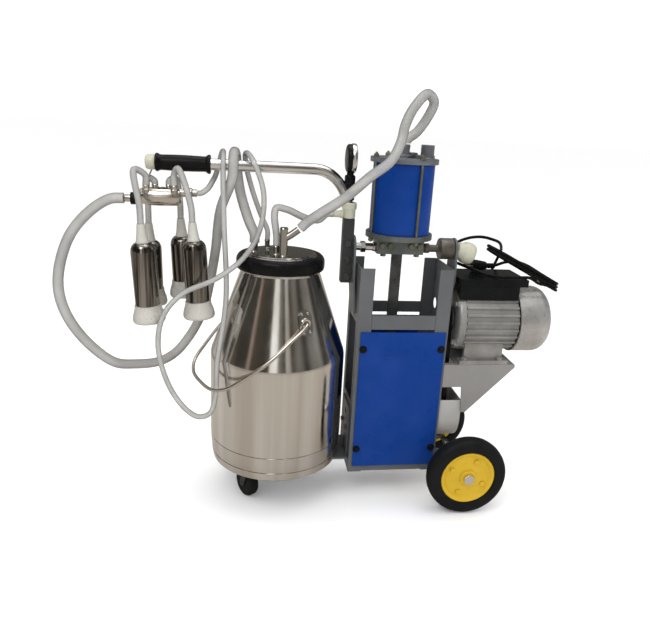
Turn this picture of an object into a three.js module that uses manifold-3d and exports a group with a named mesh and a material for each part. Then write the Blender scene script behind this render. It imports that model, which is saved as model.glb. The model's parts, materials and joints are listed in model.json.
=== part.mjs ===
// Portable piston-pump milking machine. Millimetres, +Z up, floor at z = 0.
// +X runs from the hand grip to the motor, -Y is the side with the blue front cover.
import * as THREE from 'three';
import Module from 'manifold-3d';

const wasm = await Module();
wasm.setup();

// Overall layout. The pump's axis is x = 0 here; ORIGIN_SHIFT moves the origin under the machine's middle.
const ORIGIN_SHIFT = 114.5;
const FLOOR = 0;
const GAP = 0.3;

// Frame
const FRAME_LEFT = -99;
const FRAME_RIGHT = 126;
const FRAME_HALF_DEPTH = 70;
const FRAME_BOTTOM = 68;
const FRAME_TOP = 600;
const SHEET = 3;
const UPRIGHT_WIDTH = 34;
const COVER_BOTTOM = 86;
const COVER_TOP = 445;

// Rear wheels
const WHEEL_X = 184;
const WHEEL_RADIUS = 100;
const WHEEL_WIDTH = 44;
const WHEEL_CENTRE_Y = 148;
const RIM_RADIUS = 68;
const AXLE_RADIUS = 8;

// Bucket
const BUCKET_X = -280.5;
const BUCKET_RADIUS = 163;
const BUCKET_BOTTOM = 104;
const BUCKET_SHOULDER = 383;
const NECK_RADIUS = 93;
const NECK_HEIGHT = 578;
const BUCKET_WALL = 1.5;
const LID_TOP = 618;
const SEAL_RADIUS = 104.5;
const BAIL_PIVOT_Z = 482;
const BAIL_AXIS_TURN = 24.5;
const BAIL_HALF_SPAN = 143;
const BAIL_REACH = 254;
const BAIL_DROOP = 38;

// Vacuum pump
const TRUNNION_Z = 638;
const HEAD_RADIUS = 79.5;
const HEAD_THICKNESS = 12;
const BARREL_RADIUS = 71.7;
const BARREL_BORE = 66;
const PUMP_BOTTOM = 664;
const PUMP_TOP = 850;
const TIE_ROD_CIRCLE = 76;
const TIE_ROD_TURN = -72;
const CRANK_Z = 207;
const CRANK_THROW = 38;
const EAR_STEP_LEFT = 6;
const EAR_STEP_RIGHT = 13;

// Drive
const MOTOR_Z = 462;
const MOTOR_RADIUS = 80;
const BELT_X = 143;
const BELT_WIDTH = 12;
const MOTOR_PULLEY_RADIUS = 25;
const CRANK_PULLEY_RADIUS = 50;
const SHELF_TOP = 360;

// Handle
const HANDLE_Z = 814;
const HANDLE_RADIUS = 12.5;
const POST_X = -123.8;

const FINISH = {
  frame: { color: 0x8d9093, roughness: 0.5, metalness: 0.3 },
  blue: { color: 0x0b3f9e, roughness: 0.4, metalness: 0.1 },
  steel: { color: 0xc9c9c6, roughness: 0.25, metalness: 0.9 },
  castMetal: { color: 0x9fa2a1, roughness: 0.55, metalness: 0.6 },
  darkSteel: { color: 0x4a4b4c, roughness: 0.5, metalness: 0.7 },
  rubber: { color: 0x18191a, roughness: 0.8, metalness: 0 },
  yellow: { color: 0xd9b41c, roughness: 0.45, metalness: 0.1 },
  black: { color: 0x101112, roughness: 0.5, metalness: 0 },
  white: { color: 0xe8e8e2, roughness: 0.5, metalness: 0 },
  silicone: { color: 0xe4e6e4, roughness: 0.4, metalness: 0 },
  brass: { color: 0x9c8f5a, roughness: 0.4, metalness: 0.8 },
};

// Geometry helpers

function weld(geometry) {
  const source = geometry.index ? geometry.toNonIndexed() : geometry;
  const position = source.attributes.position;
  const known = new Map();
  const points = [];
  const ids = [];
  for (let i = 0; i < position.count; i += 1) {
    const p = [position.getX(i), position.getY(i), position.getZ(i)];
    const key = p.map((v) => Math.round(v * 2000)).join(',');
    if (!known.has(key)) {
      known.set(key, points.length / 3);
      points.push(...p);
    }
    ids.push(known.get(key));
  }
  const faces = [];
  let volume = 0;
  for (let i = 0; i < ids.length; i += 3) {
    const [a, b, c] = [ids[i], ids[i + 1], ids[i + 2]];
    if (a === b || b === c || a === c) continue;
    faces.push([a, b, c]);
    const pa = new THREE.Vector3().fromArray(points, a * 3);
    const pb = new THREE.Vector3().fromArray(points, b * 3);
    const pc = new THREE.Vector3().fromArray(points, c * 3);
    volume += pa.dot(pb.cross(pc));
  }
  const index = faces.flatMap(([a, b, c]) => (volume < 0 ? [a, c, b] : [a, b, c]));
  const out = new THREE.BufferGeometry();
  out.setAttribute('position', new THREE.Float32BufferAttribute(points, 3));
  out.setIndex(index);
  return out;
}

function toManifold(geometry) {
  const g = weld(geometry);
  const mesh = new wasm.Mesh({
    numProp: 3,
    vertProperties: new Float32Array(g.attributes.position.array),
    triVerts: new Uint32Array(g.index.array),
  });
  return new wasm.Manifold(mesh);
}

function fromManifold(solid) {
  const mesh = solid.getMesh();
  const g = new THREE.BufferGeometry();
  g.setAttribute('position', new THREE.Float32BufferAttribute(Array.from(mesh.vertProperties), 3));
  g.setIndex(Array.from(mesh.triVerts));
  return g;
}

function join(...pieces) {
  return fromManifold(pieces.map(toManifold).reduce((a, b) => a.add(b)));
}

function cut(body, ...tools) {
  return fromManifold(tools.map(toManifold).reduce((a, b) => a.subtract(b), toManifold(body)));
}

function overlap(a, b) {
  return fromManifold(toManifold(a).intersect(toManifold(b)));
}

function box(x0, x1, y0, y1, z0, z1) {
  const g = new THREE.BoxGeometry(x1 - x0, y1 - y0, z1 - z0);
  return g.translate((x0 + x1) / 2, (y0 + y1) / 2, (z0 + z1) / 2);
}

function aim(geometry, axis) {
  if (axis === 'x') geometry.rotateY(Math.PI / 2);
  if (axis === 'y') geometry.rotateX(-Math.PI / 2);
  return geometry;
}

// A rod of radius r from one point to another, along the named axis.
function rod(axis, start, end, r, sides, at) {
  const g = new THREE.CylinderGeometry(r, r, end - start, sides).rotateX(Math.PI / 2);
  g.translate(0, 0, (start + end) / 2);
  return aim(g, axis).translate(...at);
}

// A turned piece: profile of [radius, distance along the axis].
function turned(axis, profile, sides, at) {
  const points = profile.map(([r, h]) => new THREE.Vector2(r, h));
  const g = new THREE.LatheGeometry(points, sides).rotateX(Math.PI / 2);
  return aim(g, axis).translate(...at);
}

function outline(points) {
  return new THREE.Shape(points.map(([u, v]) => new THREE.Vector2(u, v)));
}

// A flat outline in X-Z, given thickness from y0 to y1.
function slabXZ(points, y0, y1) {
  const g = new THREE.ExtrudeGeometry(outline(points), { depth: y1 - y0, bevelEnabled: false });
  return g.rotateX(Math.PI / 2).translate(0, y1, 0);
}

// A flat outline in Y-Z, given thickness from x0 to x1.
function slabYZ(points, x0, x1) {
  const g = new THREE.ExtrudeGeometry(outline(points), { depth: x1 - x0, bevelEnabled: false });
  return g.rotateY(Math.PI / 2).rotateX(Math.PI / 2).translate(x0, 0, 0);
}

// A flat outline in X-Y, given thickness from z0 to z1.
function slabXY(points, z0, z1) {
  const g = new THREE.ExtrudeGeometry(outline(points), { depth: z1 - z0, bevelEnabled: false });
  return g.translate(0, 0, z0);
}

function ringPoints(cu, cv, r, count, from = 0, to = 360) {
  const closed = Math.abs(to - from) === 360;
  const steps = closed ? count : count - 1;
  return Array.from({ length: count }, (_, i) => {
    const a = THREE.MathUtils.degToRad(from + ((to - from) * i) / steps);
    return [cu + r * Math.cos(a), cv + r * Math.sin(a)];
  });
}

// A round tube bent along a smooth line through the points.
function tube(points, r, sides, steps, closed = false) {
  const path = new THREE.CatmullRomCurve3(points.map((p) => new THREE.Vector3(...p)), closed, 'centripetal');
  const section = outline(ringPoints(0, 0, r, sides));
  return new THREE.ExtrudeGeometry(section, { steps, extrudePath: path, bevelEnabled: false });
}

const machine = new THREE.Group();
machine.name = 'milking_machine';

function add(name, geometry, finish) {
  const welded = weld(geometry);
  welded.translate(ORIGIN_SHIFT, 0, FLOOR);
  welded.computeVertexNormals();
  const mesh = new THREE.Mesh(welded, new THREE.MeshStandardMaterial(FINISH[finish]));
  mesh.name = name;
  machine.add(mesh);
}

// Frame: two bent side plates, beams, base and covers

function sidePlate(outerX, inward) {
  const x0 = outerX;
  const x1 = outerX + inward * SHEET;
  const x2 = outerX + inward * UPRIGHT_WIDTH;
  const y = FRAME_HALF_DEPTH;
  const section = [
    [x0, -y],
    [x2, -y],
    [x2, -y + SHEET],
    [x1, -y + SHEET],
    [x1, y - SHEET],
    [x2, y - SHEET],
    [x2, y],
    [x0, y],
  ];
  return slabXY(section, FRAME_BOTTOM, FRAME_TOP);
}

const innerLeft = FRAME_LEFT + UPRIGHT_WIDTH + GAP;
const innerRight = FRAME_RIGHT - UPRIGHT_WIDTH - GAP;
const leftWindow = box(FRAME_LEFT - 5, FRAME_LEFT + 5, -46, 46, 250, 462);
add('frame_left_side', cut(sidePlate(FRAME_LEFT, 1), leftWindow), 'frame');

const crankHole = rod('x', 110, 140, 14, 20, [0, 0, CRANK_Z]);
const viewHole = rod('x', 110, 140, 15, 20, [0, 48, 486]);
const cheekSlots = [-1, 1].map((side) => box(110, 140, side * 64.5 - 2.3, side * 64.5 + 2.3, 60, 130));
add('frame_right_side', cut(sidePlate(FRAME_RIGHT, -1), crankHole, viewHole, ...cheekSlots), 'frame');

add('front_beam', box(innerLeft, innerRight, -70, -64, 451, 486), 'frame');
add('rear_beam', box(innerLeft, innerRight, 64, 70, 455, 484), 'frame');

// Base: a tray between the side plates whose cheeks run on to carry the axle.
const trayLeft = FRAME_LEFT + SHEET + GAP;
const trayRight = FRAME_RIGHT - SHEET - GAP;
const cheekOutline = [
  [trayLeft, FRAME_BOTTOM],
  [trayRight, FRAME_BOTTOM],
  [WHEEL_X + 8, 84],
  [WHEEL_X + 17, 100],
  [WHEEL_X + 8, 115],
  [trayRight, 128],
  [trayRight - 30, 128],
  [trayRight - 50, 92],
  [trayLeft, 92],
];
const cheeks = [-1, 1].map((side) => slabXZ(cheekOutline, side * 64.5 - 2, side * 64.5 + 2));
const trayFloor = box(trayLeft, trayRight, -64, 64, FRAME_BOTTOM, 72);
const axleBore = rod('y', -80, 80, AXLE_RADIUS + GAP, 20, [WHEEL_X, 0, 100]);
add('base_tray', cut(join(trayFloor, ...cheeks), axleBore), 'frame');

// Covers: pressed sheets with two shallow ridges, front and rear.
function cover(side) {
  const inner = side * (FRAME_HALF_DEPTH + GAP);
  const outer = inner + side * 3;
  const span = (a, b) => [Math.min(a, b), Math.max(a, b)];
  const panel = box(FRAME_LEFT + 9, FRAME_RIGHT - 5, ...span(inner, outer), COVER_BOTTOM, COVER_TOP);
  const ridges = [384, 396].map((z) => box(-30, 32, ...span(outer - side, outer + side), z, z + 3));
  return join(panel, ...ridges);
}
add('front_cover', cover(-1), 'blue');
add('rear_cover', cover(1), 'blue');

// Trunnion brackets: joggled straps with round ears, bolted outside the side plates.
function trunnionBracket(side, stepOut) {
  const face = side < 0 ? FRAME_LEFT - GAP : FRAME_RIGHT + GAP;
  const step = side * stepOut;
  const t = side * 5;
  const strap = [
    [face, 480],
    [face + t, 480],
    [face + t, 498],
    [face + step + t, 562],
    [face + step + t, 680],
    [face + step, 680],
    [face + step, 563],
    [face, 499],
  ];
  const ear = [[-34, 470], [34, 470], [34, 560], ...ringPoints(0, TRUNNION_Z, 27, 17, 0, 180), [-34, 560]];
  const rounded = overlap(slabXZ(strap, -34, 34), slabYZ(ear, -200, 200));
  const bore = rod('x', -200, 200, 9 + GAP, 20, [0, 0, TRUNNION_Z]);
  return cut(rounded, bore);
}
add('trunnion_bracket_left', trunnionBracket(-1, EAR_STEP_LEFT), 'frame');
add('trunnion_bracket_right', trunnionBracket(1, EAR_STEP_RIGHT), 'frame');

// Motor shelf: folded sheet with two triangular gussets and an opening for the belt.
const shelfLeft = FRAME_RIGHT + GAP;
const shelfRight = 311;
const gusset = [
  [shelfLeft, SHELF_TOP],
  [shelfLeft, 300],
  [176, 300],
  [182, 231],
  [194, 231],
  [shelfRight, 352],
  [shelfRight, SHELF_TOP],
];
const gussets = [-1, 1].map((side) => slabXZ(gusset, side * 68.5 - 1.5, side * 68.5 + 1.5));
const shelfPlate = box(shelfLeft, shelfRight, -70, 70, SHELF_TOP - 4, SHELF_TOP);
const beltOpening = box(shelfLeft + 4, 160, -55, 55, SHELF_TOP - 20, SHELF_TOP + 5);
add('motor_shelf', cut(join(shelfPlate, ...gussets), beltOpening), 'frame');

// Bucket platform with its upright flange, web and two bolts.
const discTop = BUCKET_BOTTOM - GAP;
const platformLeft = FRAME_LEFT - GAP;
const disc = rod('z', discTop - 5, discTop, 150, 40, [BUCKET_X, 0, 0]);
const tongue = box(BUCKET_X + 60, platformLeft, -60, 60, discTop - 5, discTop);
const flange = box(platformLeft - 4, platformLeft, -45, 45, discTop - 5, 236);
const webOutline = [
  [platformLeft, 150],
  [platformLeft, 72],
  [-190, discTop - 4],
  [-114, discTop - 1],
  [-114, 108],
];
const web = slabXZ(webOutline, -2, 2);
const flangeHole = rod('x', -120, -90, 8, 16, [0, -10, 212]);
const bolts = [-24, 24].map((y) => rod('x', platformLeft - 9, platformLeft - 3, 6, 6, [0, y, 172]));
add('bucket_platform', cut(join(disc, tongue, flange, web, ...bolts), flangeHole), 'frame');

// Rear axle and wheels
const axleEnd = WHEEL_CENTRE_Y + WHEEL_WIDTH / 2;
const mirrored = (a, b, side) => [Math.min(a * side, b * side), Math.max(a * side, b * side)];
const axleAt = [WHEEL_X, 0, 100];
const axleShaft = rod('y', -axleEnd, axleEnd, AXLE_RADIUS, 20, axleAt);
const axleNuts = [-1, 1].map((side) => rod('y', ...mirrored(169.3, axleEnd + 5, side), 14, 6, axleAt));
const collars = [-1, 1].map((side) => rod('y', ...mirrored(67, 127.5, side), 13, 20, axleAt));
add('rear_axle', join(axleShaft, ...axleNuts, ...collars), 'steel');

const TYRE_PROFILE = [
  [RIM_RADIUS + 0.7, -18],
  [76, -22],
  [92, -20],
  [98, -13],
  [WHEEL_RADIUS, -5],
  [WHEEL_RADIUS, 5],
  [98, 13],
  [92, 20],
  [76, 22],
  [RIM_RADIUS + 0.7, 18],
  [RIM_RADIUS + 0.7, -18],
];
const RIM_PROFILE = [
  [AXLE_RADIUS + GAP, -20],
  [20, -20],
  [20, -12],
  [56, -9],
  [62, -16],
  [RIM_RADIUS, -16],
  [RIM_RADIUS, 16],
  [62, 16],
  [56, 9],
  [20, 12],
  [20, 20],
  [AXLE_RADIUS + GAP, 20],
  [AXLE_RADIUS + GAP, -20],
];
[['front', -1], ['rear', 1]].forEach(([label, side]) => {
  const centre = [WHEEL_X, side * WHEEL_CENTRE_Y, 100];
  add(`tyre_${label}`, turned('y', TYRE_PROFILE, 28, centre), 'rubber');
  add(`rim_${label}`, turned('y', RIM_PROFILE, 22, centre), 'yellow');
});

// Swivelling casters under the platform.
const CASTER_X = -342;
const CASTER_Y = 60;
const CASTER_WHEEL_RADIUS = 36;
const CASTER_TRAIL = 18;
const CASTER_TURN = -58;
const CASTER_TOP = discTop - 5 - GAP;
const ROLL_PROFILE = [
  [4 + GAP, -12],
  [CASTER_WHEEL_RADIUS - 3, -12],
  [CASTER_WHEEL_RADIUS, -8],
  [CASTER_WHEEL_RADIUS, 8],
  [CASTER_WHEEL_RADIUS - 3, 12],
  [4 + GAP, 12],
  [4 + GAP, -12],
];
const ARM_OUTLINE = [
  [10, CASTER_TOP - 8],
  [-14, CASTER_TOP - 8],
  [-CASTER_TRAIL - 8, 36],
  [-CASTER_TRAIL - 4, 29],
  [-CASTER_TRAIL + 4, 29],
  [-CASTER_TRAIL + 8, 36],
];
[['front', -1], ['rear', 1]].forEach(([label, side]) => {
  const swivel = rod('z', CASTER_TOP - 9, CASTER_TOP, 22, 24, [0, 0, 0]);
  const crown = box(-16, 14, -17, 17, CASTER_TOP - 13, CASTER_TOP - 7);
  const arms = [-1, 1].map((s) => slabXZ(ARM_OUTLINE, s * 15.5 - 1.5, s * 15.5 + 1.5));
  const wheelAt = [-CASTER_TRAIL, 0, CASTER_WHEEL_RADIUS];
  const pin = rod('y', -19, 19, 4, 12, wheelAt);
  const turn = THREE.MathUtils.degToRad(CASTER_TURN);
  const place = (g) => g.rotateZ(turn).translate(CASTER_X, side * CASTER_Y, 0);
  const tyreCut = rod('y', -13, 13, CASTER_WHEEL_RADIUS + 2, 24, wheelAt);
  const fork = join(cut(join(swivel, crown, ...arms), tyreCut), pin);
  add(`caster_fork_${label}`, place(fork), 'darkSteel');
  add(`caster_wheel_${label}`, place(turned('y', ROLL_PROFILE, 28, wheelAt)), 'rubber');
});

// Handle: one bent tube entering the post, with a rubber grip.
const handlePath = [
  [-556, 0, HANDLE_Z],
  [-500, 0, HANDLE_Z],
  [-300, 0, HANDLE_Z],
  [-226, 0, HANDLE_Z],
  [-197, 0, HANDLE_Z - 1],
  [-176, 0, HANDLE_Z - 8],
  [-158, 0, HANDLE_Z - 21],
  [-144, 0, HANDLE_Z - 38],
  [-133, 0, HANDLE_Z - 60],
  [-126, 0, HANDLE_Z - 82],
  [POST_X, 0, HANDLE_Z - 104],
  [POST_X, 0, HANDLE_Z - 128],
];
add('handle_tube', tube(handlePath, HANDLE_RADIUS, 14, 20), 'steel');

const GRIP_PROFILE = [
  [HANDLE_RADIUS + GAP, -562],
  [18, -562],
  [20, -559],
  [20, -554],
  [17, -550],
  [17.5, -500],
  [16.5, -456],
  [21, -450],
  [21, -442],
  [HANDLE_RADIUS + GAP, -442],
  [HANDLE_RADIUS + GAP, -562],
];
add('grip', turned('x', GRIP_PROFILE, 20, [0, 0, HANDLE_Z]), 'rubber');

// Post: square tube bolted to the left trunnion bracket, open at both ends.
const postFace = FRAME_LEFT - GAP - EAR_STEP_LEFT - 5 - GAP;
const postOuter = box(postFace - 26, postFace, -13, 13, 551, 705);
const postCore = box(postFace - 23, postFace - 3, -10, 10, 540, 690);
const postSocket = rod('z', 660, 720, HANDLE_RADIUS + GAP, 16, [POST_X, 0, 0]);
add('post', cut(postOuter, postCore, postSocket), 'darkSteel');

// Regulator valve clamped on the handle tube just above the post.
const REGULATOR_PROFILE = [
  [HANDLE_RADIUS + GAP, 706],
  [15, 706],
  [15, 726],
  [17.5, 728],
  [17.5, 740],
  [15, 742],
  [HANDLE_RADIUS + GAP, 742],
  [HANDLE_RADIUS + GAP, 706],
];
const spout = rod('x', -160, POST_X - 14, 8, 16, [0, 0, 714]);
const bendClearance = tube(handlePath, HANDLE_RADIUS + GAP, 14, 20);
const regulatorBody = turned('z', REGULATOR_PROFILE, 24, [POST_X, 0, 0]);
add('regulator', cut(join(regulatorBody, spout), bendClearance), 'white');

// Vacuum gauge on a black sleeve fitted over the handle bend.
const GAUGE_X = -126;
const GAUGE_Z = 842;
const GAUGE_PROFILE = [
  [0, -11],
  [29, -11],
  [32, -8],
  [32, 0],
  [33.5, 1],
  [33.5, 10],
  [0, 10],
];
const gaugeSleeve = rod('z', 747, 804, 12.5, 20, [GAUGE_X, 0, 0]);
const gaugeStem = rod('z', 800, GAUGE_Z - 6, 8, 14, [GAUGE_X, 0, 0]);
const gaugeCase = turned('x', GAUGE_PROFILE, 28, [GAUGE_X, 0, GAUGE_Z]);
add('vacuum_gauge', cut(join(gaugeSleeve, gaugeStem, gaugeCase), bendClearance), 'black');

// Pump: barrel, two heads, four tie rods, valve block, trunnions, piston.
const barrelProfile = [
  [BARREL_BORE, PUMP_BOTTOM + HEAD_THICKNESS + GAP],
  [BARREL_RADIUS, PUMP_BOTTOM + HEAD_THICKNESS + GAP],
  [BARREL_RADIUS, PUMP_TOP - HEAD_THICKNESS - GAP],
  [BARREL_BORE, PUMP_TOP - HEAD_THICKNESS - GAP],
  [BARREL_BORE, PUMP_BOTTOM + HEAD_THICKNESS + GAP],
];
add('pump_barrel', turned('z', barrelProfile, 40, [0, 0, 0]), 'blue');

const tieAngles = [0, 1, 2, 3].map((i) => THREE.MathUtils.degToRad(TIE_ROD_TURN + 90 * i));
const tiePlaces = tieAngles.map((a) => [TIE_ROD_CIRCLE * Math.cos(a), TIE_ROD_CIRCLE * Math.sin(a), 0]);
const tieHoles = tiePlaces.map((p) => rod('z', PUMP_BOTTOM - 5, PUMP_TOP + 5, 3.3, 8, p));

const topDisc = rod('z', PUMP_TOP - HEAD_THICKNESS, PUMP_TOP, HEAD_RADIUS, 40, [0, 0, 0]);
const silencerPort = rod('z', PUMP_TOP - 2, PUMP_TOP + 30, 15.5, 18, [50, -10, 0]);
const silencerBore = rod('z', PUMP_TOP + 4, PUMP_TOP + 40, 12, 18, [50, -10, 0]);
const valveBoss = rod('z', PUMP_TOP - 2, PUMP_TOP + 12, 14, 14, [18, 8, 0]);
const hoseNipple = rod('z', PUMP_TOP - 2, PUMP_TOP + 30, 10, 14, [-2, -8, 0]);
const topHead = join(topDisc, silencerPort, valveBoss, hoseNipple);
add('pump_top_head', cut(topHead, silencerBore, ...tieHoles), 'castMetal');

const bottomDisc = rod('z', PUMP_BOTTOM, PUMP_BOTTOM + HEAD_THICKNESS, HEAD_RADIUS, 40, [0, 0, 0]);
const valveBlock = box(-55, 58, -26, 26, 626, PUMP_BOTTOM + 2);
const rodPassage = box(-14, 14, -8, 8, 600, 700);
const trunnionBores = [
  rod('x', -60, -34, 9 + GAP, 20, [0, 0, TRUNNION_Z]),
  rod('x', 34, 70, 9 + GAP, 20, [0, 0, TRUNNION_Z]),
];
const bottomHead = cut(join(bottomDisc, valveBlock), rodPassage, ...trunnionBores, ...tieHoles);
add('pump_bottom_head', bottomHead, 'castMetal');

tiePlaces.forEach((p, i) => {
  const shank = rod('z', PUMP_BOTTOM - 9, PUMP_TOP + 11, 3, 8, p);
  const topNut = rod('z', PUMP_TOP + GAP, PUMP_TOP + 7, 6.5, 6, p);
  const bottomNut = rod('z', PUMP_BOTTOM - 7, PUMP_BOTTOM - GAP, 6.5, 6, p);
  add(`tie_rod_${i + 1}`, join(shank, topNut, bottomNut), 'brass');
});

const leftEarX = FRAME_LEFT - GAP - EAR_STEP_LEFT;
const rightEarX = FRAME_RIGHT + GAP + EAR_STEP_RIGHT;
const trunnionAt = [0, 0, TRUNNION_Z];
const leftPipe = join(
  rod('x', leftEarX - 4.5, -35, 9, 20, trunnionAt),
  rod('x', leftEarX + 14, leftEarX + 26, 14, 6, trunnionAt),
);
add('trunnion_pipe_left', leftPipe, 'steel');
const rightPipe = join(
  rod('x', 35, rightEarX + 22, 9, 20, trunnionAt),
  rod('x', rightEarX - 36, rightEarX - GAP, 26, 28, trunnionAt),
);
add('trunnion_pipe_right', rightPipe, 'castMetal');

// The muffler droops a little from the pipe's end.
const MUFFLER_DROOP = 18;
const MUFFLER_PROFILE = [
  [0, 2],
  [19, 2],
  [21, 16],
  [26, 20],
  [27, 38],
  [22, 47],
  [0, 48],
];
const mufflerBody = turned('x', MUFFLER_PROFILE, 28, [0, 0, 0]);
mufflerBody.rotateY(THREE.MathUtils.degToRad(MUFFLER_DROOP)).translate(rightEarX + 8, 0, TRUNNION_Z);
const mufflerSocket = rod('x', rightEarX, rightEarX + 24, 9 + GAP, 20, trunnionAt);
const mufflerFace = box(rightEarX, rightEarX + 6, -40, 40, TRUNNION_Z - 40, TRUNNION_Z + 40);
add('muffler', cut(mufflerBody, mufflerSocket, mufflerFace), 'white');

const PISTON_Z = 690;
const pistonDisc = rod('z', PISTON_Z, PISTON_Z + 28, BARREL_BORE - 1.3, 40, [0, 0, 0]);
const crankPinZ = CRANK_Z - CRANK_THROW;
const flatBar = box(-12.5, 12.5, -6, 6, crankPinZ, PISTON_Z + 5);
const eye = rod('x', -12.5, 12.5, 16, 24, [0, 0, crankPinZ]);
const pin = rod('x', -12.5, 14, 8, 16, [0, 0, crankPinZ]);
add('piston_and_rod', join(pistonDisc, flatBar, eye, pin), 'darkSteel');

// Crankshaft, pulleys and belt.
const crankAt = [0, 0, CRANK_Z];
const crankDisc = rod('x', 19, 31, 54, 40, crankAt);
const pinStub = rod('x', 15.5, 20, 10, 16, [0, 0, crankPinZ]);
const crankShaft = rod('x', 30, 160, 10, 20, crankAt);
add('crankshaft', join(crankDisc, pinStub, crankShaft), 'darkSteel');

function pulleyProfile(radius, bore) {
  const [a, b] = [BELT_X - BELT_WIDTH / 2 - 4, BELT_X + BELT_WIDTH / 2 + 4];
  return [
    [bore, a],
    [radius + 4, a],
    [radius + 4, a + 2.5],
    [radius - 3, a + 5.5],
    [radius - 3, b - 5.5],
    [radius + 4, b - 2.5],
    [radius + 4, b],
    [bore, b],
    [bore, a],
  ];
}
add('crank_pulley', turned('x', pulleyProfile(CRANK_PULLEY_RADIUS, 10 + GAP), 24, crankAt), 'castMetal');
const motorPulley = turned('x', pulleyProfile(MOTOR_PULLEY_RADIUS, 8 + GAP), 22, [0, 0, MOTOR_Z]);
add('motor_pulley', motorPulley, 'castMetal');

function beltLoop(offset) {
  const spread = Math.asin((CRANK_PULLEY_RADIUS - MOTOR_PULLEY_RADIUS) / (MOTOR_Z - CRANK_Z));
  const lift = THREE.MathUtils.radToDeg(spread);
  const upper = ringPoints(0, MOTOR_Z, MOTOR_PULLEY_RADIUS + offset, 15, -lift, 180 + lift);
  const lower = ringPoints(0, CRANK_Z, CRANK_PULLEY_RADIUS + offset, 19, 180 + lift, 360 - lift);
  return [...upper, ...lower];
}
const beltOuter = slabYZ(beltLoop(5), BELT_X - 5, BELT_X + 5);
const beltInner = slabYZ(beltLoop(0), BELT_X - 9, BELT_X + 9);
add('v_belt', cut(beltOuter, beltInner), 'rubber');

// Pulley guard: a round-bottomed cup, open at the top where the belt enters.
function guardOutline(r) {
  return [...ringPoints(0, CRANK_Z, r, 25, 180, 360), [r, 262], [-r, 262]];
}
const guardBody = slabYZ(guardOutline(65), FRAME_RIGHT + GAP, 184);
const guardHollow = slabYZ([...ringPoints(0, CRANK_Z, 62, 25, 180, 360), [62, 300], [-62, 300]], 110, 181);
add('pulley_guard', cut(guardBody, guardHollow), 'castMetal');

// Motor
const motorAt = [0, 0, MOTOR_Z];
const FIN_COUNT = 22;
const finOutline = Array.from({ length: FIN_COUNT * 4 }, (_, i) => {
  const r = i % 4 < 2 ? MOTOR_RADIUS : MOTOR_RADIUS - 7;
  const a = ((i + 0.5) / (FIN_COUNT * 4)) * Math.PI * 2;
  return [r * Math.cos(a), MOTOR_Z + r * Math.sin(a)];
});
const finned = slabYZ(finOutline, 170, 304);
const stator = rod('x', 168.5, 306, MOTOR_RADIUS - 8, 40, motorAt);
const statorBore = rod('x', 160, 320, 58, 40, motorAt);
const feet = [-1, 1].map((side) => {
  const rail = box(164, 290, ...mirrored(46, 70, side), SHELF_TOP + GAP, SHELF_TOP + 12);
  return join(rail, box(180, 276, ...mirrored(47, 55, side), SHELF_TOP + 10, MOTOR_Z - 50));
});
add('motor_housing', cut(join(finned, stator, ...feet), statorBore), 'castMetal');

const BELL_PROFILE = [
  [10, 157],
  [34, 157],
  [38, 151],
  [74, 151],
  [79, 155],
  [79, 168.2],
  [57, 168.2],
  [57, 175],
  [53, 175],
  [50, 169],
  [10, 167],
  [10, 157],
];
add('motor_end_bell', turned('x', BELL_PROFILE, 24, motorAt), 'castMetal');

const ROTOR_PROFILE = [
  [0, 134],
  [8, 134],
  [8, 158],
  [9, 158],
  [9, 190],
  [54, 190],
  [54, 285],
  [12, 285],
  [12, 325],
  [62, 325],
  [66, 345],
  [12, 340],
  [12, 350],
  [0, 350],
];
add('motor_rotor', turned('x', ROTOR_PROFILE, 18, motorAt), 'darkSteel');

const FAN_COVER_PROFILE = [
  [79, 306.5],
  [84, 306.5],
  [84, 366],
  [79, 380],
  [66, 391],
  [48, 396],
  [20, 397],
  [20, 395],
  [47, 394],
  [65, 389],
  [77, 378],
  [82, 365],
  [82, 309],
  [79, 309],
  [79, 306.5],
];
add('fan_cover', turned('x', FAN_COVER_PROFILE, 28, motorAt), 'castMetal');

const capacitorBox = box(150, 302, -57, 57, 510, 568);
const boxLid = box(148, 322, -59, 59, 558, 576);
const motorCut = rod('x', 100, 400, MOTOR_RADIUS + 4.4, 56, motorAt);
add('terminal_box', cut(join(capacitorBox, boxLid), motorCut), 'black');

// Bucket with foot ring, seam, cone and rolled neck, plus the two bail ears.
const BUCKET_PROFILE = [
  [0, BUCKET_BOTTOM + 12],
  [BUCKET_RADIUS - 14, BUCKET_BOTTOM + 12],
  [BUCKET_RADIUS - 8, BUCKET_BOTTOM],
  [BUCKET_RADIUS - 6, BUCKET_BOTTOM],
  [BUCKET_RADIUS - 2, 126],
  [BUCKET_RADIUS, 165],
  [BUCKET_RADIUS, BUCKET_SHOULDER - 14],
  [BUCKET_RADIUS - 2, BUCKET_SHOULDER],
  [NECK_RADIUS + 2, NECK_HEIGHT - 6],
  [NECK_RADIUS, NECK_HEIGHT],
  [NECK_RADIUS + 5, NECK_HEIGHT + 5],
  [NECK_RADIUS + 5, NECK_HEIGHT + 11],
  [NECK_RADIUS - 3, NECK_HEIGHT + 11],
  [NECK_RADIUS - 3, NECK_HEIGHT - 5],
  [BUCKET_RADIUS - 4.5, BUCKET_SHOULDER - 4],
  [BUCKET_RADIUS - 2.5, BUCKET_SHOULDER - 18],
  [BUCKET_RADIUS - 2.5, 162],
  [BUCKET_RADIUS - 8, BUCKET_BOTTOM + 15],
  [0, BUCKET_BOTTOM + 15],
];
const bucketAt = [BUCKET_X, 0, 0];
const turnBail = (g) => g.rotateZ(THREE.MathUtils.degToRad(BAIL_AXIS_TURN)).translate(BUCKET_X, 0, 0);
const coneSlope = Math.atan((BUCKET_RADIUS - NECK_RADIUS - 4) / (NECK_HEIGHT - 6 - BUCKET_SHOULDER));
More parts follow.
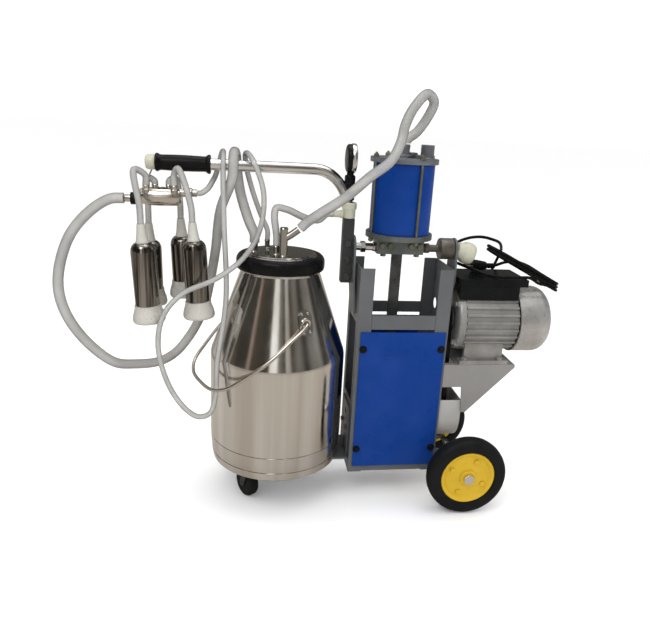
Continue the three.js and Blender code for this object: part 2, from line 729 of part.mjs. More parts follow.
const earOutline = [...ringPoints(0, 13, 17, 8, 0, 180), ...ringPoints(0, -13, 17, 8, 180, 360)];
const bailEars = [-1, 1].map((side) => {
  const plate = slabXZ(earOutline, -3.2, 3.2).rotateX(side * coneSlope);
  plate.translate(0, side * 128.3, BAIL_PIVOT_Z);
  return turnBail(cut(plate, rod('y', ...mirrored(126.8, 150, side), 6, 12, [0, 0, BAIL_PIVOT_Z])));
});
add('bucket', join(turned('z', BUCKET_PROFILE, 36, bucketAt), ...bailEars), 'steel');

// Bail: a round-wire bow hanging down towards the grip side.
const droop = THREE.MathUtils.degToRad(BAIL_DROOP);
const bowPoints = [
  [0, -129.6],
  [0, -134],
  [0, -138],
  [10, -BAIL_HALF_SPAN],
  [60, -BAIL_HALF_SPAN],
  [120, -140],
  [180, -120],
  [225, -98],
  [248, -60],
  [BAIL_REACH, 0],
];
const bow = [...bowPoints, ...bowPoints.slice(0, -1).reverse().map(([u, v]) => [u, -v])];
const bowPath = bow.map(([u, v]) => [-u * Math.cos(droop), v, BAIL_PIVOT_Z - u * Math.sin(droop)]);
add('bail', turnBail(tube(bowPath, 4, 8, 40)), 'steel');

// Lid: steel plate with four nipples, and the black rubber seal ring round it.
const lidProfile = [[0, LID_TOP - 8], [86, LID_TOP - 8], [86, LID_TOP], [80, LID_TOP + 3], [0, LID_TOP + 3]];
const lidDisc = turned('z', lidProfile, 40, bucketAt);
const nipples = join(
  rod('z', LID_TOP, LID_TOP + 26, 7, 16, [-294, -45, 0]),
  rod('z', LID_TOP, LID_TOP + 70, 9, 20, [-278.5, -60, 0]),
  rod('z', LID_TOP, LID_TOP + 26, 8, 16, [-343, -15, 0]),
  rod('z', LID_TOP, LID_TOP + 26, 6, 12, [-312, 30, 0]),
);
const branchPath = [[-278.5, -60, LID_TOP + 44], [-262, -60, LID_TOP + 54], [-246, -60, LID_TOP + 66]];
add('lid', join(lidDisc, nipples, tube(branchPath, 8, 16, 4)), 'steel');

const SEAL_PROFILE = [
  [80, NECK_HEIGHT + 11 + GAP],
  [NECK_RADIUS + 6, NECK_HEIGHT + 11 + GAP],
  [NECK_RADIUS + 6, 584],
  [SEAL_RADIUS - 1, 584],
  [SEAL_RADIUS, 606],
  [97, 617],
  [87, 617],
  [87, LID_TOP - 8 - GAP],
  [80, LID_TOP - 8 - GAP],
  [80, NECK_HEIGHT + 11 + GAP],
];
add('lid_seal', turned('z', SEAL_PROFILE, 32, bucketAt), 'rubber');

// Milking cluster: claw under the grip, four teat cups hanging from it.
const CLAW = [-548, -25, 742];
const CLAW_PROFILE = [
  [0, -46],
  [14, -46],
  [19, -40],
  [20, -6],
  [22, -6],
  [22, 4],
  [20, 4],
  [19, 36],
  [14, 44],
  [0, 44],
];
const CUPS = [
  {
    label: 'near_left',
    top: [-585, -70, 664],
    foot: [-574, -70, 468],
    nipple: [-30, -12],
    crest: [-598, -56, 800],
  },
  {
    label: 'near_right',
    top: [-478, -54, 668],
    foot: [-466, -54, 474],
    nipple: [30, -12],
    crest: [-508, -52, 806],
  },
  {
    label: 'far_right',
    top: [-512, 34, 662],
    foot: [-505, 34, 500],
    nipple: [16, 12],
    crest: [-520, 16, 778],
  },
  {
    label: 'far_left',
    top: [-584, 28, 650],
    foot: [-582, 28, 480],
    nipple: [-14, 12],
    crest: [-582, 14, 776],
  },
];
const clawStubs = CUPS.map(({ nipple: [dx, dy] }) => {
  return rod('z', CLAW[2] + 8, CLAW[2] + 26, 7, 10, [CLAW[0] + dx, CLAW[1] + dy, 0]);
});
const clawOutlet = rod('x', -626, CLAW[0] - 40, 8, 16, [0, CLAW[1], CLAW[2] - 6]);
const clawSpigot = rod('x', CLAW[0] + 40, -470, 9, 16, [0, CLAW[1], CLAW[2] + 10]);
const clawLug = box(CLAW[0] - 4, CLAW[0] + 4, CLAW[1] - 3, 14, CLAW[2] + 10, CLAW[2] + 17);
const clawBowl = turned('x', CLAW_PROFILE, 20, CLAW);
add('claw', join(clawBowl, ...clawStubs, clawOutlet, clawSpigot, clawLug), 'castMetal');

// A teat cup: mouthpiece at the foot, steel shell, soft cone and short tube up to the claw.
function teatCup({ label, top, foot, nipple, crest }) {
  const start = new THREE.Vector3(...foot);
  const end = new THREE.Vector3(...top);
  const length = start.distanceTo(end);
  const profile = [
    [0, 60],
    [10, 52],
    [11, 0],
    [33, 1],
    [35.5, 8],
    [34, 18],
    [29, 34],
    [27, 42],
    [27, length - 36],
    [23, length - 23],
    [14, length - 17],
    [12, length - 6],
    [8, length + 24],
    [0, length + 24],
  ];
  const body = turned('z', profile, 18, [0, 0, 0]);
  const direction = end.clone().sub(start).normalize();
  const tilt = new THREE.Quaternion().setFromUnitVectors(new THREE.Vector3(0, 0, 1), direction);
  body.applyQuaternion(tilt).translate(...foot);
  const neck = end.clone().lerp(start, -20 / length).toArray();
  const stubTop = [CLAW[0] + nipple[0], CLAW[1] + nipple[1], CLAW[2] + 26 + GAP];
  const low = end.clone().lerp(start, 4 / length).toArray();
  const lead = [neck[0] * 0.9 + crest[0] * 0.1, neck[1] * 0.9 + crest[1] * 0.1, neck[2] + 40];
  const rise = [stubTop[0], stubTop[1], stubTop[2] * 0.4 + crest[2] * 0.6];
  const path = [low, neck, lead, crest, rise, stubTop];
  add(`teat_cup_${label}`, join(body, tube(path, 7, 8, 14)), 'steel');
}
CUPS.forEach(teatCup);

// Hoses and cord
const MILK_HOSE_RADIUS = 11.5;
const milkPath = [
  [-627, -25, 736],
  [-656, -25, 733],
  [-699, -25, 705],
  [-744, -25, 651],
  [-772, -26, 572],
  [-774, -28, 514],
  [-756, -28, 455],
  [-716, -27, 396],
  [-667, -10, 346],
  [-627, 22, 328],
  [-572, 58, 321],
  [-536, 84, 335],
  [-508, 98, 366],
  [-486, 102, 402],
  [-466, 98, 450],
  [-450, 84, 520],
  [-434, 44, 612],
  [-421, 8, 712],
  [-394, -28, 790],
  [-392, -24, 828],
  [-390, 0, 844],
  [-387, 23, 834],
  [-385, 31, 806],
  [-376, 24, 750],
  [-356, 2, 690],
  [-343, -15, 662],
  [-343, -15, LID_TOP + 26 + GAP],
];
add('milk_hose', tube(milkPath, MILK_HOSE_RADIUS, 8, 48), 'silicone');

const pulsePath = [
  [CLAW[0] + 78.4, -25, 752],
  [-462, -25, 752.5],
  [-448, -20, 762],
  [-438, -4, 778],
  [-432, 16, 790],
  [-426, 27, 812],
  [-419, 18, 838],
  [-415, 0, 844],
  [-414, -20, 836],
  [-414, -31, 806],
  [-412, -36, 700],
  [-406, -60, 520],
  [-424, -96, 380],
  [-428, -110, 300],
  [-440, -117, 262],
  [-464, -118, 254],
  [-492, -118, 272],
  [-530, -113, 330],
  [-552, -107, 420],
  [-540, -106, 492],
  [-500, -106, 542],
  [-430, -100, 575],
  [-381, -78, 606],
  [-356, -52, 630],
  [-338, -42, 660],
  [-326, -36, 705],
  [-325, -32, 760],
  [-341, -28, 812],
  [-358, -10, 840],
  [-366, 14, 840],
  [-364, 32, 812],
  [-350, 38, 760],
  [-328, 36, 700],
  [-312, 30, 664],
  [-312, 30, LID_TOP + 26 + GAP],
];
add('pulse_hose', tube(pulsePath, 6, 6, 56), 'silicone');

const lidVacuumPath = [
  [-294, -45, LID_TOP + 26 + GAP],
  [-294, -45, 664],
  [-300, -44, 712],
  [-296, -40, 728],
  [-270, -34, 724],
  [-230, -24, 706],
  [-196, -12, 700],
  [-176, -1, 713.5],
  [-160.6, 0, 714],
];
add('lid_vacuum_hose', tube(lidVacuumPath, 8, 8, 20), 'silicone');

const pumpVacuumPath = [
  [-241, -60, LID_TOP + 70],
  [-228, -66, 702],
  [-203, -88, 725],
  [-153, -110, 764],
  [-103, -118, 811],
  [-60, -119, 847],
  [-40, -112, 886],
  [-29, -92, 920],
  [-3, -58, 960],
  [31, -36, 990],
  [50, -25, 974],
  [42, -17, 944],
  [20, -11, 908],
  [2, -8.5, 893],
  [-2, -8, 886],
  [-2, -8, PUMP_TOP + 31.5],
];
add('pump_vacuum_hose', tube(pumpVacuumPath, 11, 8, 34), 'silicone');

// Mains cord: out of the terminal box, round behind the muffler, then two turns of a tied hank and the plug.
const HANK_CENTRE = [318, -22, 590.4];
const HANK_SLOPE = 0.5;
const HANK_PITCH = 8.4;
const HANK_POINTS = 29;
const HANK_LOOP = [
  [60, -21],
  [84, -17],
  [96, 0],
  [84, 17],
  [60, 21],
  [0, 8],
  [-60, 21],
  [-84, 17],
  [-96, 0],
  [-84, -17],
  [-60, -21],
  [0, -8],
];
const hankPath = Array.from({ length: HANK_POINTS }, (_, i) => {
  const [along, across] = HANK_LOOP[i % HANK_LOOP.length];
  const rise = (HANK_PITCH * i) / HANK_LOOP.length - HANK_SLOPE * along;
  return [HANK_CENTRE[0] + along, HANK_CENTRE[1] + across, HANK_CENTRE[2] + rise];
});
const cordPath = [
  [285, 57.6, 545],
  [285, 84, 545],
  [292, 104, 560],
  [303, 106, 590],
  [304, 88, 620],
  [286, 62, 645],
  [262, 50, 655],
  [228, 45, 662],
  [192, 44, 658],
  [162, 45, 644],
  [147, 46, 624],
  [151, 36, 604],
  [168, 14, 597],
  [194, -18, 591],
  [224, -42, 584],
  [252, -50, 580.8],
  [290, -52, 580.8],
  [326, -50, 580.4],
  [354, -46, 566],
  ...hankPath,
  [342, 10, 599],
  [314, 18, 606],
  [290, 25, 602],
  [270, 28, 594],
  [258, 28, 591.6],
  [240, 28, 591.6],
];
const cordTube = tube(cordPath, 3.8, 6, 106);
const PLUG_PROFILE = [
  [0, 204],
  [15, 204],
  [15, 212],
  [11, 238],
  [7, 244],
  [5.5, 266],
  [0, 266],
];
const plugBody = turned('x', PLUG_PROFILE, 10, [0, 28, 591.6]);
const plugPins = [-1, 1].map((side) => rod('x', 186, 206, 2.4, 6, [0, 28 + side * 9.5, 591.6]));
const glandBoot = rod('y', 57.6, 82, 6, 8, [285, 0, 545]);
add('mains_cord', join(cordTube, plugBody, ...plugPins, glandBoot), 'rubber');

export default machine;
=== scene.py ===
import json
import math

import bmesh
import bpy
from mathutils import Matrix, Vector

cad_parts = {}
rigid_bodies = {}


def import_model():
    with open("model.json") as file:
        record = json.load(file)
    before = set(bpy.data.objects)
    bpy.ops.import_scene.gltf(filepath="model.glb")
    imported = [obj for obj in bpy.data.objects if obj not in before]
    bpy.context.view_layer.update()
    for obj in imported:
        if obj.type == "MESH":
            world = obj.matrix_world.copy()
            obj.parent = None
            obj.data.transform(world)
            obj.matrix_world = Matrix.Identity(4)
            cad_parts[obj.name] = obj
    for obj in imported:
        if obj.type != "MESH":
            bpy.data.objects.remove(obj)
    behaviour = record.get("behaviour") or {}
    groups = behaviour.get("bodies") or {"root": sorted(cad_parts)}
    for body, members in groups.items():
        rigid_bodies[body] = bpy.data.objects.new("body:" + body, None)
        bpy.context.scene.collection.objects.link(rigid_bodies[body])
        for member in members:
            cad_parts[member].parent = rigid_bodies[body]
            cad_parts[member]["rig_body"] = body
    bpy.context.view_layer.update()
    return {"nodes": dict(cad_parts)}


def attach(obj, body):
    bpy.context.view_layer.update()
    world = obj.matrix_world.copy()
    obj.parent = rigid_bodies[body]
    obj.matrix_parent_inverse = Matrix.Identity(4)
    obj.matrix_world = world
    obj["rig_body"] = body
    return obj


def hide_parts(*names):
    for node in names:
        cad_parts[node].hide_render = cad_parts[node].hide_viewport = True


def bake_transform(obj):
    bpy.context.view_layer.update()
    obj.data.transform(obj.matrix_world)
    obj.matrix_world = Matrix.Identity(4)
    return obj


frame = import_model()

SHIFT = 114.5
BUCKET_X = -280.5
WHEEL_X = 184
TRUNNION_Z = 638
MOTOR_Z = 462
HANDLE_Z = 814
POST_X = -123.8
GAUGE_X = -126
GAUGE_Z = 842
CLAW = (-548, -25, 742)
BAIL_PIVOT_Z = 482
BAIL_TURN = math.radians(24.5)
TIE_ROD_ANGLES = [math.radians(-72 + 90 * i) for i in range(4)]
AXES = {"x": (1, 2, 0), "y": (2, 0, 1), "z": (0, 1, 2)}


def at(x, y, z):
    """A point in metres, from millimetres measured from the pump's axis and the floor."""
    return Vector(((x + SHIFT) / 1000, y / 1000, z / 1000))


# Camera

CAMERA_PLACE = (-0.25045, -1.40741, 0.9103)
CAMERA_TURN = -0.1580
CAMERA_TILT = -0.28465
CAMERA_ROLL = 0.05685


def make_camera():
    data = bpy.data.cameras.new("camera")
    data.sensor_fit = "HORIZONTAL"
    data.sensor_width = 36
    data.lens = 33.54
    data.shift_x = -0.0179
    data.shift_y = -0.0131
    camera = bpy.data.objects.new("camera", data)
    bpy.context.scene.collection.objects.link(camera)
    turn = Matrix.Rotation(CAMERA_TURN, 4, "Z") @ Matrix.Rotation(math.pi / 2 + CAMERA_TILT, 4, "X")
    roll = Matrix.Rotation(CAMERA_ROLL, 4, "Z")
    camera.matrix_world = Matrix.Translation(CAMERA_PLACE) @ turn @ roll
    bpy.context.scene.camera = camera


make_camera()


# Materials

def shade(name, colour, roughness, metallic=0.0, **constants):
    """A material with its Principled shader, ready for nodes on top."""
    made = bpy.data.materials.new(name)
    made.use_nodes = True
    shader = made.node_tree.nodes["Principled BSDF"]
    shader.inputs["Base Color"].default_value = (*colour, 1)
    shader.inputs["Roughness"].default_value = roughness
    shader.inputs["Metallic"].default_value = metallic
    for socket, value in constants.items():
        shader.inputs[socket.replace("_", " ")].default_value = value
    return made


def noise(made, scale, detail=3.0, stretch=(1, 1, 1)):
    """A noise factor in the piece's own coordinates."""
    nodes, links = made.node_tree.nodes, made.node_tree.links
    place = nodes.new("ShaderNodeTexCoord")
    mapping = nodes.new("ShaderNodeMapping")
    mapping.inputs["Scale"].default_value = stretch
    texture = nodes.new("ShaderNodeTexNoise")
    texture.inputs["Scale"].default_value = scale
    texture.inputs["Detail"].default_value = detail
    texture.inputs["Roughness"].default_value = 0.55
    links.new(place.outputs["Object"], mapping.inputs["Vector"])
    links.new(mapping.outputs["Vector"], texture.inputs["Vector"])
    return texture.outputs["Fac"]


def vary_colour(made, factor, low, high, start=0.3, end=0.7):
    """Base colour runs from low to high along a factor."""
    ramp = made.node_tree.nodes.new("ShaderNodeValToRGB")
    ramp.color_ramp.elements[0].position = start
    ramp.color_ramp.elements[0].color = (*low, 1)
    ramp.color_ramp.elements[1].position = end
    ramp.color_ramp.elements[1].color = (*high, 1)
    shader = made.node_tree.nodes["Principled BSDF"]
    made.node_tree.links.new(factor, ramp.inputs["Fac"])
    made.node_tree.links.new(ramp.outputs["Color"], shader.inputs["Base Color"])
    return ramp


def vary_roughness(made, factor, low, high):
    """Roughness runs from low to high along a factor."""
    scaled = made.node_tree.nodes.new("ShaderNodeMapRange")
    scaled.inputs["From Min"].default_value = 0.3
    scaled.inputs["From Max"].default_value = 0.7
    scaled.inputs["To Min"].default_value = low
    scaled.inputs["To Max"].default_value = high
    shader = made.node_tree.nodes["Principled BSDF"]
    made.node_tree.links.new(factor, scaled.inputs["Value"])
    made.node_tree.links.new(scaled.outputs["Result"], shader.inputs["Roughness"])


def add_bump(made, factor, strength, distance):
    """A fine relief from a factor, over any relief already there."""
    bump = made.node_tree.nodes.new("ShaderNodeBump")
    bump.inputs["Strength"].default_value = strength
    bump.inputs["Distance"].default_value = distance
    shader = made.node_tree.nodes["Principled BSDF"]
    if shader.inputs["Normal"].is_linked:
        before = shader.inputs["Normal"].links[0].from_socket
        made.node_tree.links.new(before, bump.inputs["Normal"])
    made.node_tree.links.new(factor, bump.inputs["Height"])
    made.node_tree.links.new(bump.outputs["Normal"], shader.inputs["Normal"])


def blended(a, b, share):
    return tuple(x + (y - x) * share for x, y in zip(a, b))


def painted(name, colour, roughness, coat, grain=0.12):
    """Sprayed paint: faint orange peel, dust and slight unevenness."""
    made = shade(name, colour, roughness, Coat_Weight=coat, Coat_Roughness=0.12)
    vary_colour(made, noise(made, 9, 5), blended(colour, (0, 0, 0), 0.12), blended(colour, (1, 1, 1), 0.008))
    vary_roughness(made, noise(made, 34, 4), roughness - 0.07, roughness + 0.13)
    add_bump(made, noise(made, 420, 2), grain, 0.0004)
    return made


def cast(name, colour, roughness, metallic=0.75):
    """Cast or sand-blasted metal: pitted, a little blotchy."""
    made = shade(name, colour, roughness, metallic)
    vary_colour(made, noise(made, 22, 6), blended(colour, (0, 0, 0), 0.28), blended(colour, (1, 1, 1), 0.05))
    vary_roughness(made, noise(made, 60, 3), roughness - 0.08, roughness + 0.14)
    add_bump(made, noise(made, 900, 3), 0.22, 0.0005)
    return made


def polished(name, colour, roughness):
    """Polished or plated steel: faint warm smears and a fine unevenness."""
    made = shade(name, colour, roughness, 1.0)
    vary_colour(made, noise(made, 5, 4), blended(colour, (0.3, 0.24, 0.18), 0.22), colour)
    vary_roughness(made, noise(made, 260, 2), roughness * 0.75, roughness * 1.7)
    add_bump(made, noise(made, 1500, 1), 0.06, 0.0002)
    return made


def reflection_banded(name, low, high, roughness, scale):
    """Polished steel with painted reflections: its base colour runs in soft bands along its height, standing
    in for the mirrored image of a cluttered room.
    """
    made = shade(name, high, roughness, 1.0)
    # Painted reflection: vertical bands of low and high tone in the base colour.
    vary_colour(made, noise(made, scale, 3, (1, 1, 0.03)), low, high, 0.38, 0.62)
    vary_roughness(made, noise(made, 40, 3), roughness * 0.8, roughness * 1.5)
    add_bump(made, noise(made, 1500, 1), 0.05, 0.0002)
    return made


def rubber(name, colour, roughness, grain, dust=0.008):
    """Moulded rubber or plastic with a little dust in patches."""
    made = shade(name, colour, roughness)
    vary_colour(made, noise(made, 26, 6), colour, blended(colour, (1, 1, 1), dust))
    vary_roughness(made, noise(made, 80, 3), roughness - 0.1, roughness + 0.1)
    add_bump(made, noise(made, 1100, 2), grain, 0.0004)
    return made


def translucent(name, centre, edge, roughness, transmission):
    """Milky clear plastic: pale seen square on, with painted shade darkening it towards its outline, cloudier
    in patches.
    """
    made = shade(name, centre, roughness, Transmission_Weight=transmission, IOR=1.2)
    nodes, links = made.node_tree.nodes, made.node_tree.links
    cloudy = vary_colour(made, noise(made, 14, 3), blended(centre, edge, 0.3), centre)
    # Painted shade: the colour turns to the edge colour where the surface faces away from view.
    outline = nodes.new("ShaderNodeLayerWeight")
    outline.inputs["Blend"].default_value = 0.42
    mix = nodes.new("ShaderNodeMix")
    mix.data_type = "RGBA"
    mix.inputs[7].default_value = (*edge, 1)
    links.new(outline.outputs["Facing"], mix.inputs["Factor"])
    links.new(cloudy.outputs["Color"], mix.inputs[6])
    links.new(mix.outputs[2], nodes["Principled BSDF"].inputs["Base Color"])
    vary_roughness(made, noise(made, 30, 3), roughness - 0.05, roughness + 0.08)
    return made


MATERIALS = {
    "frame": painted("grey_paint", (0.098, 0.102, 0.106), 0.38, 0.08),
    "pale_frame": painted("pale_grey_paint", (0.22, 0.212, 0.202), 0.42, 0.1),
    "dark_paint": painted("dark_paint", (0.03, 0.03, 0.031), 0.4, 0.0),
    "blue": painted("blue_paint", (0.0004, 0.034, 0.21), 0.3, 0.0, 0.05),
    "yellow": painted("yellow_paint", (0.58, 0.37, 0.012), 0.42, 0.12),
    "cast": cast("cast_alloy", (0.36, 0.35, 0.33), 0.42),
    "guard": painted("pale_silver_paint", (0.4, 0.395, 0.38), 0.34, 0.2, 0.15),
    # Partly painted shade: the motor's own silver grey is set somewhat darker to stand in for the shade in
    # the valleys between its fins.
    "motor": cast("silver_casting_with_painted_shade", (0.33, 0.322, 0.308), 0.36, 0.55),
    "cowl": cast("cowl_metal", (0.53, 0.52, 0.5), 0.3, 0.7),
    "head": cast("machined_plate", (0.17, 0.185, 0.205), 0.36, 0.6),
    "valve": cast("weathered_alloy", (0.085, 0.098, 0.09), 0.4, 0.4),
    "boss": cast("oily_iron", (0.105, 0.088, 0.07), 0.36, 0.5),
    # Bucket and teat cups: painted reflection bands in the base colour, with much darker bands for the cups.
    "spun": reflection_banded("spun_steel_painted_reflection", (0.6, 0.57, 0.52), (0.86, 0.85, 0.83), 0.1, 13),
    "cup": reflection_banded("cup_steel_painted_reflection", (0.04, 0.034, 0.028), (0.36, 0.34, 0.31), 0.14, 95),
    "steel": polished("polished_steel", (0.66, 0.62, 0.57), 0.16),
    "lid": polished("lid_steel", (0.4, 0.39, 0.36), 0.09),
    "chrome": polished("plated_steel", (0.8, 0.8, 0.79), 0.1),
    "dark_steel": cast("dark_steel", (0.055, 0.056, 0.057), 0.34, 0.6),
    "brass": cast("dull_brass", (0.2, 0.19, 0.12), 0.36, 0.8),
    "tyre": rubber("tyre_rubber", (0.006, 0.0065, 0.007), 0.5, 0.2, 0.004),
    "rubber": rubber("black_rubber", (0.004, 0.004, 0.004), 0.26, 0.08, 0.003),
    "plastic": rubber("black_plastic", (0.004, 0.0045, 0.005), 0.2, 0.08, 0.003),
    "white": rubber("cream_plastic", (0.44, 0.43, 0.33), 0.36, 0.06, 0.03),
    "dial": rubber("dial_card", (0.75, 0.75, 0.72), 0.5, 0.02),
    # The second colour of liner and hose is the painted shade at their outlines.
    "liner": translucent("milky_rubber", (0.62, 0.6, 0.55), (0.3, 0.28, 0.24), 0.26, 0.2),
    "hose": translucent("milky_hose", (0.7, 0.7, 0.68), (0.13, 0.127, 0.12), 0.12, 0.5),
    "cord": rubber("cord_rubber", (0.004, 0.004, 0.004), 0.28, 0.08, 0.003),
}
DULLED = {
    0.22: ("frame", "pale_frame", "dark_paint", "yellow"),
    0.1: ("blue", "tyre", "plastic", "rubber", "cord"),
}
for gloss, dull_names in DULLED.items():
    for dull_name in dull_names:
        dull_shader = MATERIALS[dull_name].node_tree.nodes["Principled BSDF"]
        dull_shader.inputs["Specular IOR Level"].default_value = gloss


# Shapes as (points, faces), and the outlines and lines they are made from. All in millimetres, measured
# from the pump's axis and the floor.

def lathe(axis, profile, sides, centre=(0, 0, 0)):
    """A profile of (radius, height) turned about an axis; it ends on the axis, or closes on itself."""
    u, v, w = AXES[axis]
    closed = profile[0] == profile[-1]
    rows = profile[:-1] if closed else profile
    points, rings = [], []
    for radius, height in rows:
        count = 1 if radius < 1e-6 else sides
        ring = []
        for i in range(count):
            angle = 2 * math.pi * i / sides
            point = [0, 0, 0]
            point[u] = centre[u] + radius * math.cos(angle)
            point[v] = centre[v] + radius * math.sin(angle)
            point[w] = centre[w] + height
            ring.append(len(points))
            points.append(point)
        rings.append(ring)
    faces = []
    pairs = list(zip(rings, rings[1:]))
    if closed:
        pairs.append((rings[-1], rings[0]))
    for low, high in pairs:
        for i in range(sides):
            j = (i + 1) % sides
            face = [low[i % len(low)], low[j % len(low)], high[j % len(high)], high[i % len(high)]]
            face = list(dict.fromkeys(face))
            if len(face) > 2:
                faces.append(face)
    return points, faces


def disc(axis, start, end, radius, sides, centre=(0, 0, 0), edge=0.0):
    """A round bar or plate with its rims eased by edge."""
    if edge:
        mid = edge * 0.3
        rims = [(0, start), (radius - edge, start), (radius - mid, start + mid), (radius, start + edge)]
        rims += [(radius, end - edge), (radius - mid, end - mid), (radius - edge, end), (0, end)]
        return lathe(axis, rims, sides, centre)
    return lathe(axis, [(0, start), (radius, start), (radius, end), (0, end)], sides, centre)


def slab(axis, outline, start, end):
    """An outline in the two other axes, run along an axis."""
    u, v, w = {"x": (1, 2, 0), "y": (0, 2, 1), "z": (0, 1, 2)}[axis]
    points = []
    for level in (start, end):
        for a, b in outline:
            point = [0, 0, 0]
            point[u], point[v], point[w] = a, b, level
            points.append(point)
    n = len(outline)
    faces = [list(range(n)), list(range(n, 2 * n))[::-1]]
    faces += [[i, (i + 1) % n, n + (i + 1) % n, n + i] for i in range(n)]
    return points, faces


def block(x0, x1, y0, y1, z0, z1):
    return slab("z", [(x0, y0), (x1, y0), (x1, y1), (x0, y1)], z0, z1)


def arc(cx, cy, radius, start, end, count):
    """Points along a circle's arc, angles in degrees."""
    steps = [math.radians(start + (end - start) * i / count) for i in range(count + 1)]
    return [(cx + radius * math.cos(a), cy + radius * math.sin(a)) for a in steps]


def route(points, step=6.0):
    """A smooth centripetal curve through points, sampled about every step."""
    p = [Vector(q) for q in points]
    p = [p[0] * 2 - p[1], *p, p[-1] * 2 - p[-2]]
    line = []
    for a, b, c, d in zip(p, p[1:], p[2:], p[3:]):
        t0 = 0
        t1 = t0 + max((b - a).length, 1e-4) ** 0.5
        t2 = t1 + max((c - b).length, 1e-4) ** 0.5
        t3 = t2 + max((d - c).length, 1e-4) ** 0.5
        count = max(2, round((c - b).length / step))
        for i in range(count):
            t = t1 + (t2 - t1) * i / count
            e = a * ((t1 - t) / (t1 - t0)) + b * ((t - t0) / (t1 - t0))
            f = b * ((t2 - t) / (t2 - t1)) + c * ((t - t1) / (t2 - t1))
            g = c * ((t3 - t) / (t3 - t2)) + d * ((t - t2) / (t3 - t2))
            h = e * ((t2 - t) / (t2 - t0)) + f * ((t - t0) / (t2 - t0))
            k = f * ((t3 - t) / (t3 - t1)) + g * ((t - t1) / (t3 - t1))
            line.append(h * ((t2 - t) / (t2 - t1)) + k * ((t - t1) / (t2 - t1)))
    line.append(p[-2])
    return line


def pipe(line, r, sides=20):
    """A round tube of radius r with flat ends along a line."""
    n = len(line)
    tangents = [(line[min(i + 1, n - 1)] - line[max(i - 1, 0)]).normalized() for i in range(n)]
    side = tangents[0].orthogonal().normalized()
    points, faces = [], []
    for i, (p, t) in enumerate(zip(line, tangents)):
        if i:
            side = tangents[i - 1].rotation_difference(t) @ side
        side = (side - t * side.dot(t)).normalized()
        other = t.cross(side)
        for k in range(sides):
            a = 2 * math.pi * k / sides
            points.append(p + side * (r * math.cos(a)) + other * (r * math.sin(a)))
    for i in range(n - 1):
        for k in range(sides):
            j = (k + 1) % sides
            faces.append([i * sides + k, i * sides + j, (i + 1) * sides + j, (i + 1) * sides + k])
    faces += [list(range(sides))[::-1], list(range((n - 1) * sides, n * sides))]
    return points, faces


def moved(shape, matrix):
    return [matrix @ Vector(p) for p in shape[0]], shape[1]


def hexagon(axis, start, end, across, centre, turn=0.0):
    """A hexagon nut or bolt head with eased corners."""
    r = across / math.sqrt(3)
    profile = [(0, start), (r * 0.93, start), (r, start + 0.6), (r, end - 0.9), (r * 0.9, end), (0, end)]
    spin = Matrix.Rotation(math.radians(turn), 4, axis.upper())
    return moved(lathe(axis, profile, 6), Matrix.Translation(centre) @ spin)


def piece(name, shapes, material, body, stands_for=(), bevel=0.0, angle=32):
    """One shown piece from several shapes, smooth except at its sharp edges, riding on a body."""
    mesh = bpy.data.meshes.new(name)
    bm = bmesh.new()
    for points, faces in shapes:
        verts = [bm.verts.new(at(*p)) for p in points]
        part = [bm.faces.new([verts[i] for i in face]) for face in faces]
        bmesh.ops.recalc_face_normals(bm, faces=part)
    return dressed(name, mesh, bm, material, body, stands_for, bevel, angle)


def dressed(name, mesh, bm, material, body, stands_for, bevel, angle):
    bm.to_mesh(mesh)
    bm.free()
    mesh.materials.append(MATERIALS[material])
    mesh.polygons.foreach_set("use_smooth", [True] * len(mesh.polygons))
    mesh.set_sharp_from_angle(angle=math.radians(angle))
    made = bpy.data.objects.new(name, mesh)
    bpy.context.scene.collection.objects.link(made)
    if bevel:
        rounding = made.modifiers.new("edges", "BEVEL")
        rounding.width = bevel / 1000
        rounding.segments = 2
        rounding.limit_method = "ANGLE"
        rounding.angle_limit = math.radians(angle)
        rounding.harden_normals = True
    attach(made, body)
    if stands_for:
        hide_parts(*stands_for)
    return made


def carried(node, material, bevel=0.5, angle=32):
    """A CAD node's own shape with welded, eased edges and a finished material."""
    source = frame["nodes"][node]
    bm = bmesh.new()
    bm.from_mesh(source.data)
    bmesh.ops.remove_doubles(bm, verts=bm.verts, dist=1e-6)
    bmesh.ops.dissolve_limit(bm, angle_limit=math.radians(0.4), verts=bm.verts, edges=bm.edges)
    bmesh.ops.recalc_face_normals(bm, faces=bm.faces)
    mesh = bpy.data.meshes.new(node + "_finished")
    return dressed(node + "_finished", mesh, bm, material, source["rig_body"], (node,), bevel, angle)


# Hoses and cord. Each follows the same route as its CAD tube.


def flexible(name, points, radius, material, node, going_with=()):
    """A hose or cord: one open spline along a smooth route."""
    line = route(points)
    data = bpy.data.curves.new(name, "CURVE")
    data.dimensions = "3D"
    data.bevel_depth = radius / 1000
    data.bevel_resolution = 5
    data.use_fill_caps = True
    spline = data.splines.new("POLY")
    spline.points.add(len(line) - 1)
    for point, place in zip(spline.points, line):
        point.co = (*at(*place), 1)
    spline.use_smooth = True
    made = bpy.data.objects.new(name, data)
    data.materials.append(MATERIALS[material])
    bpy.context.scene.collection.objects.link(made)
    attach(made, "cart")
    if node:
        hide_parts(node)


def rocking(name, points, radius, material, node):
    """A hose from the cart to the rocking pump: a fixed tube along a smooth route between them."""
    line = route(points)
    mesh = bpy.data.meshes.new(name)
    bm = bmesh.new()
    tube_points, tube_faces = pipe(line, radius, 24)
    verts = [bm.verts.new(at(*p)) for p in tube_points]
    tube = [bm.faces.new([verts[i] for i in face]) for face in tube_faces]
    bmesh.ops.recalc_face_normals(bm, faces=tube)
    bm.to_mesh(mesh)
    bm.free()
    mesh.materials.append(MATERIALS[material])
    mesh.polygons.foreach_set("use_smooth", [True] * len(mesh.polygons))
    mesh.set_sharp_from_angle(angle=math.radians(60))
    made = bpy.data.objects.new(name, mesh)
    bpy.context.scene.collection.objects.link(made)
    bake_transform(made)
    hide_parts(node)


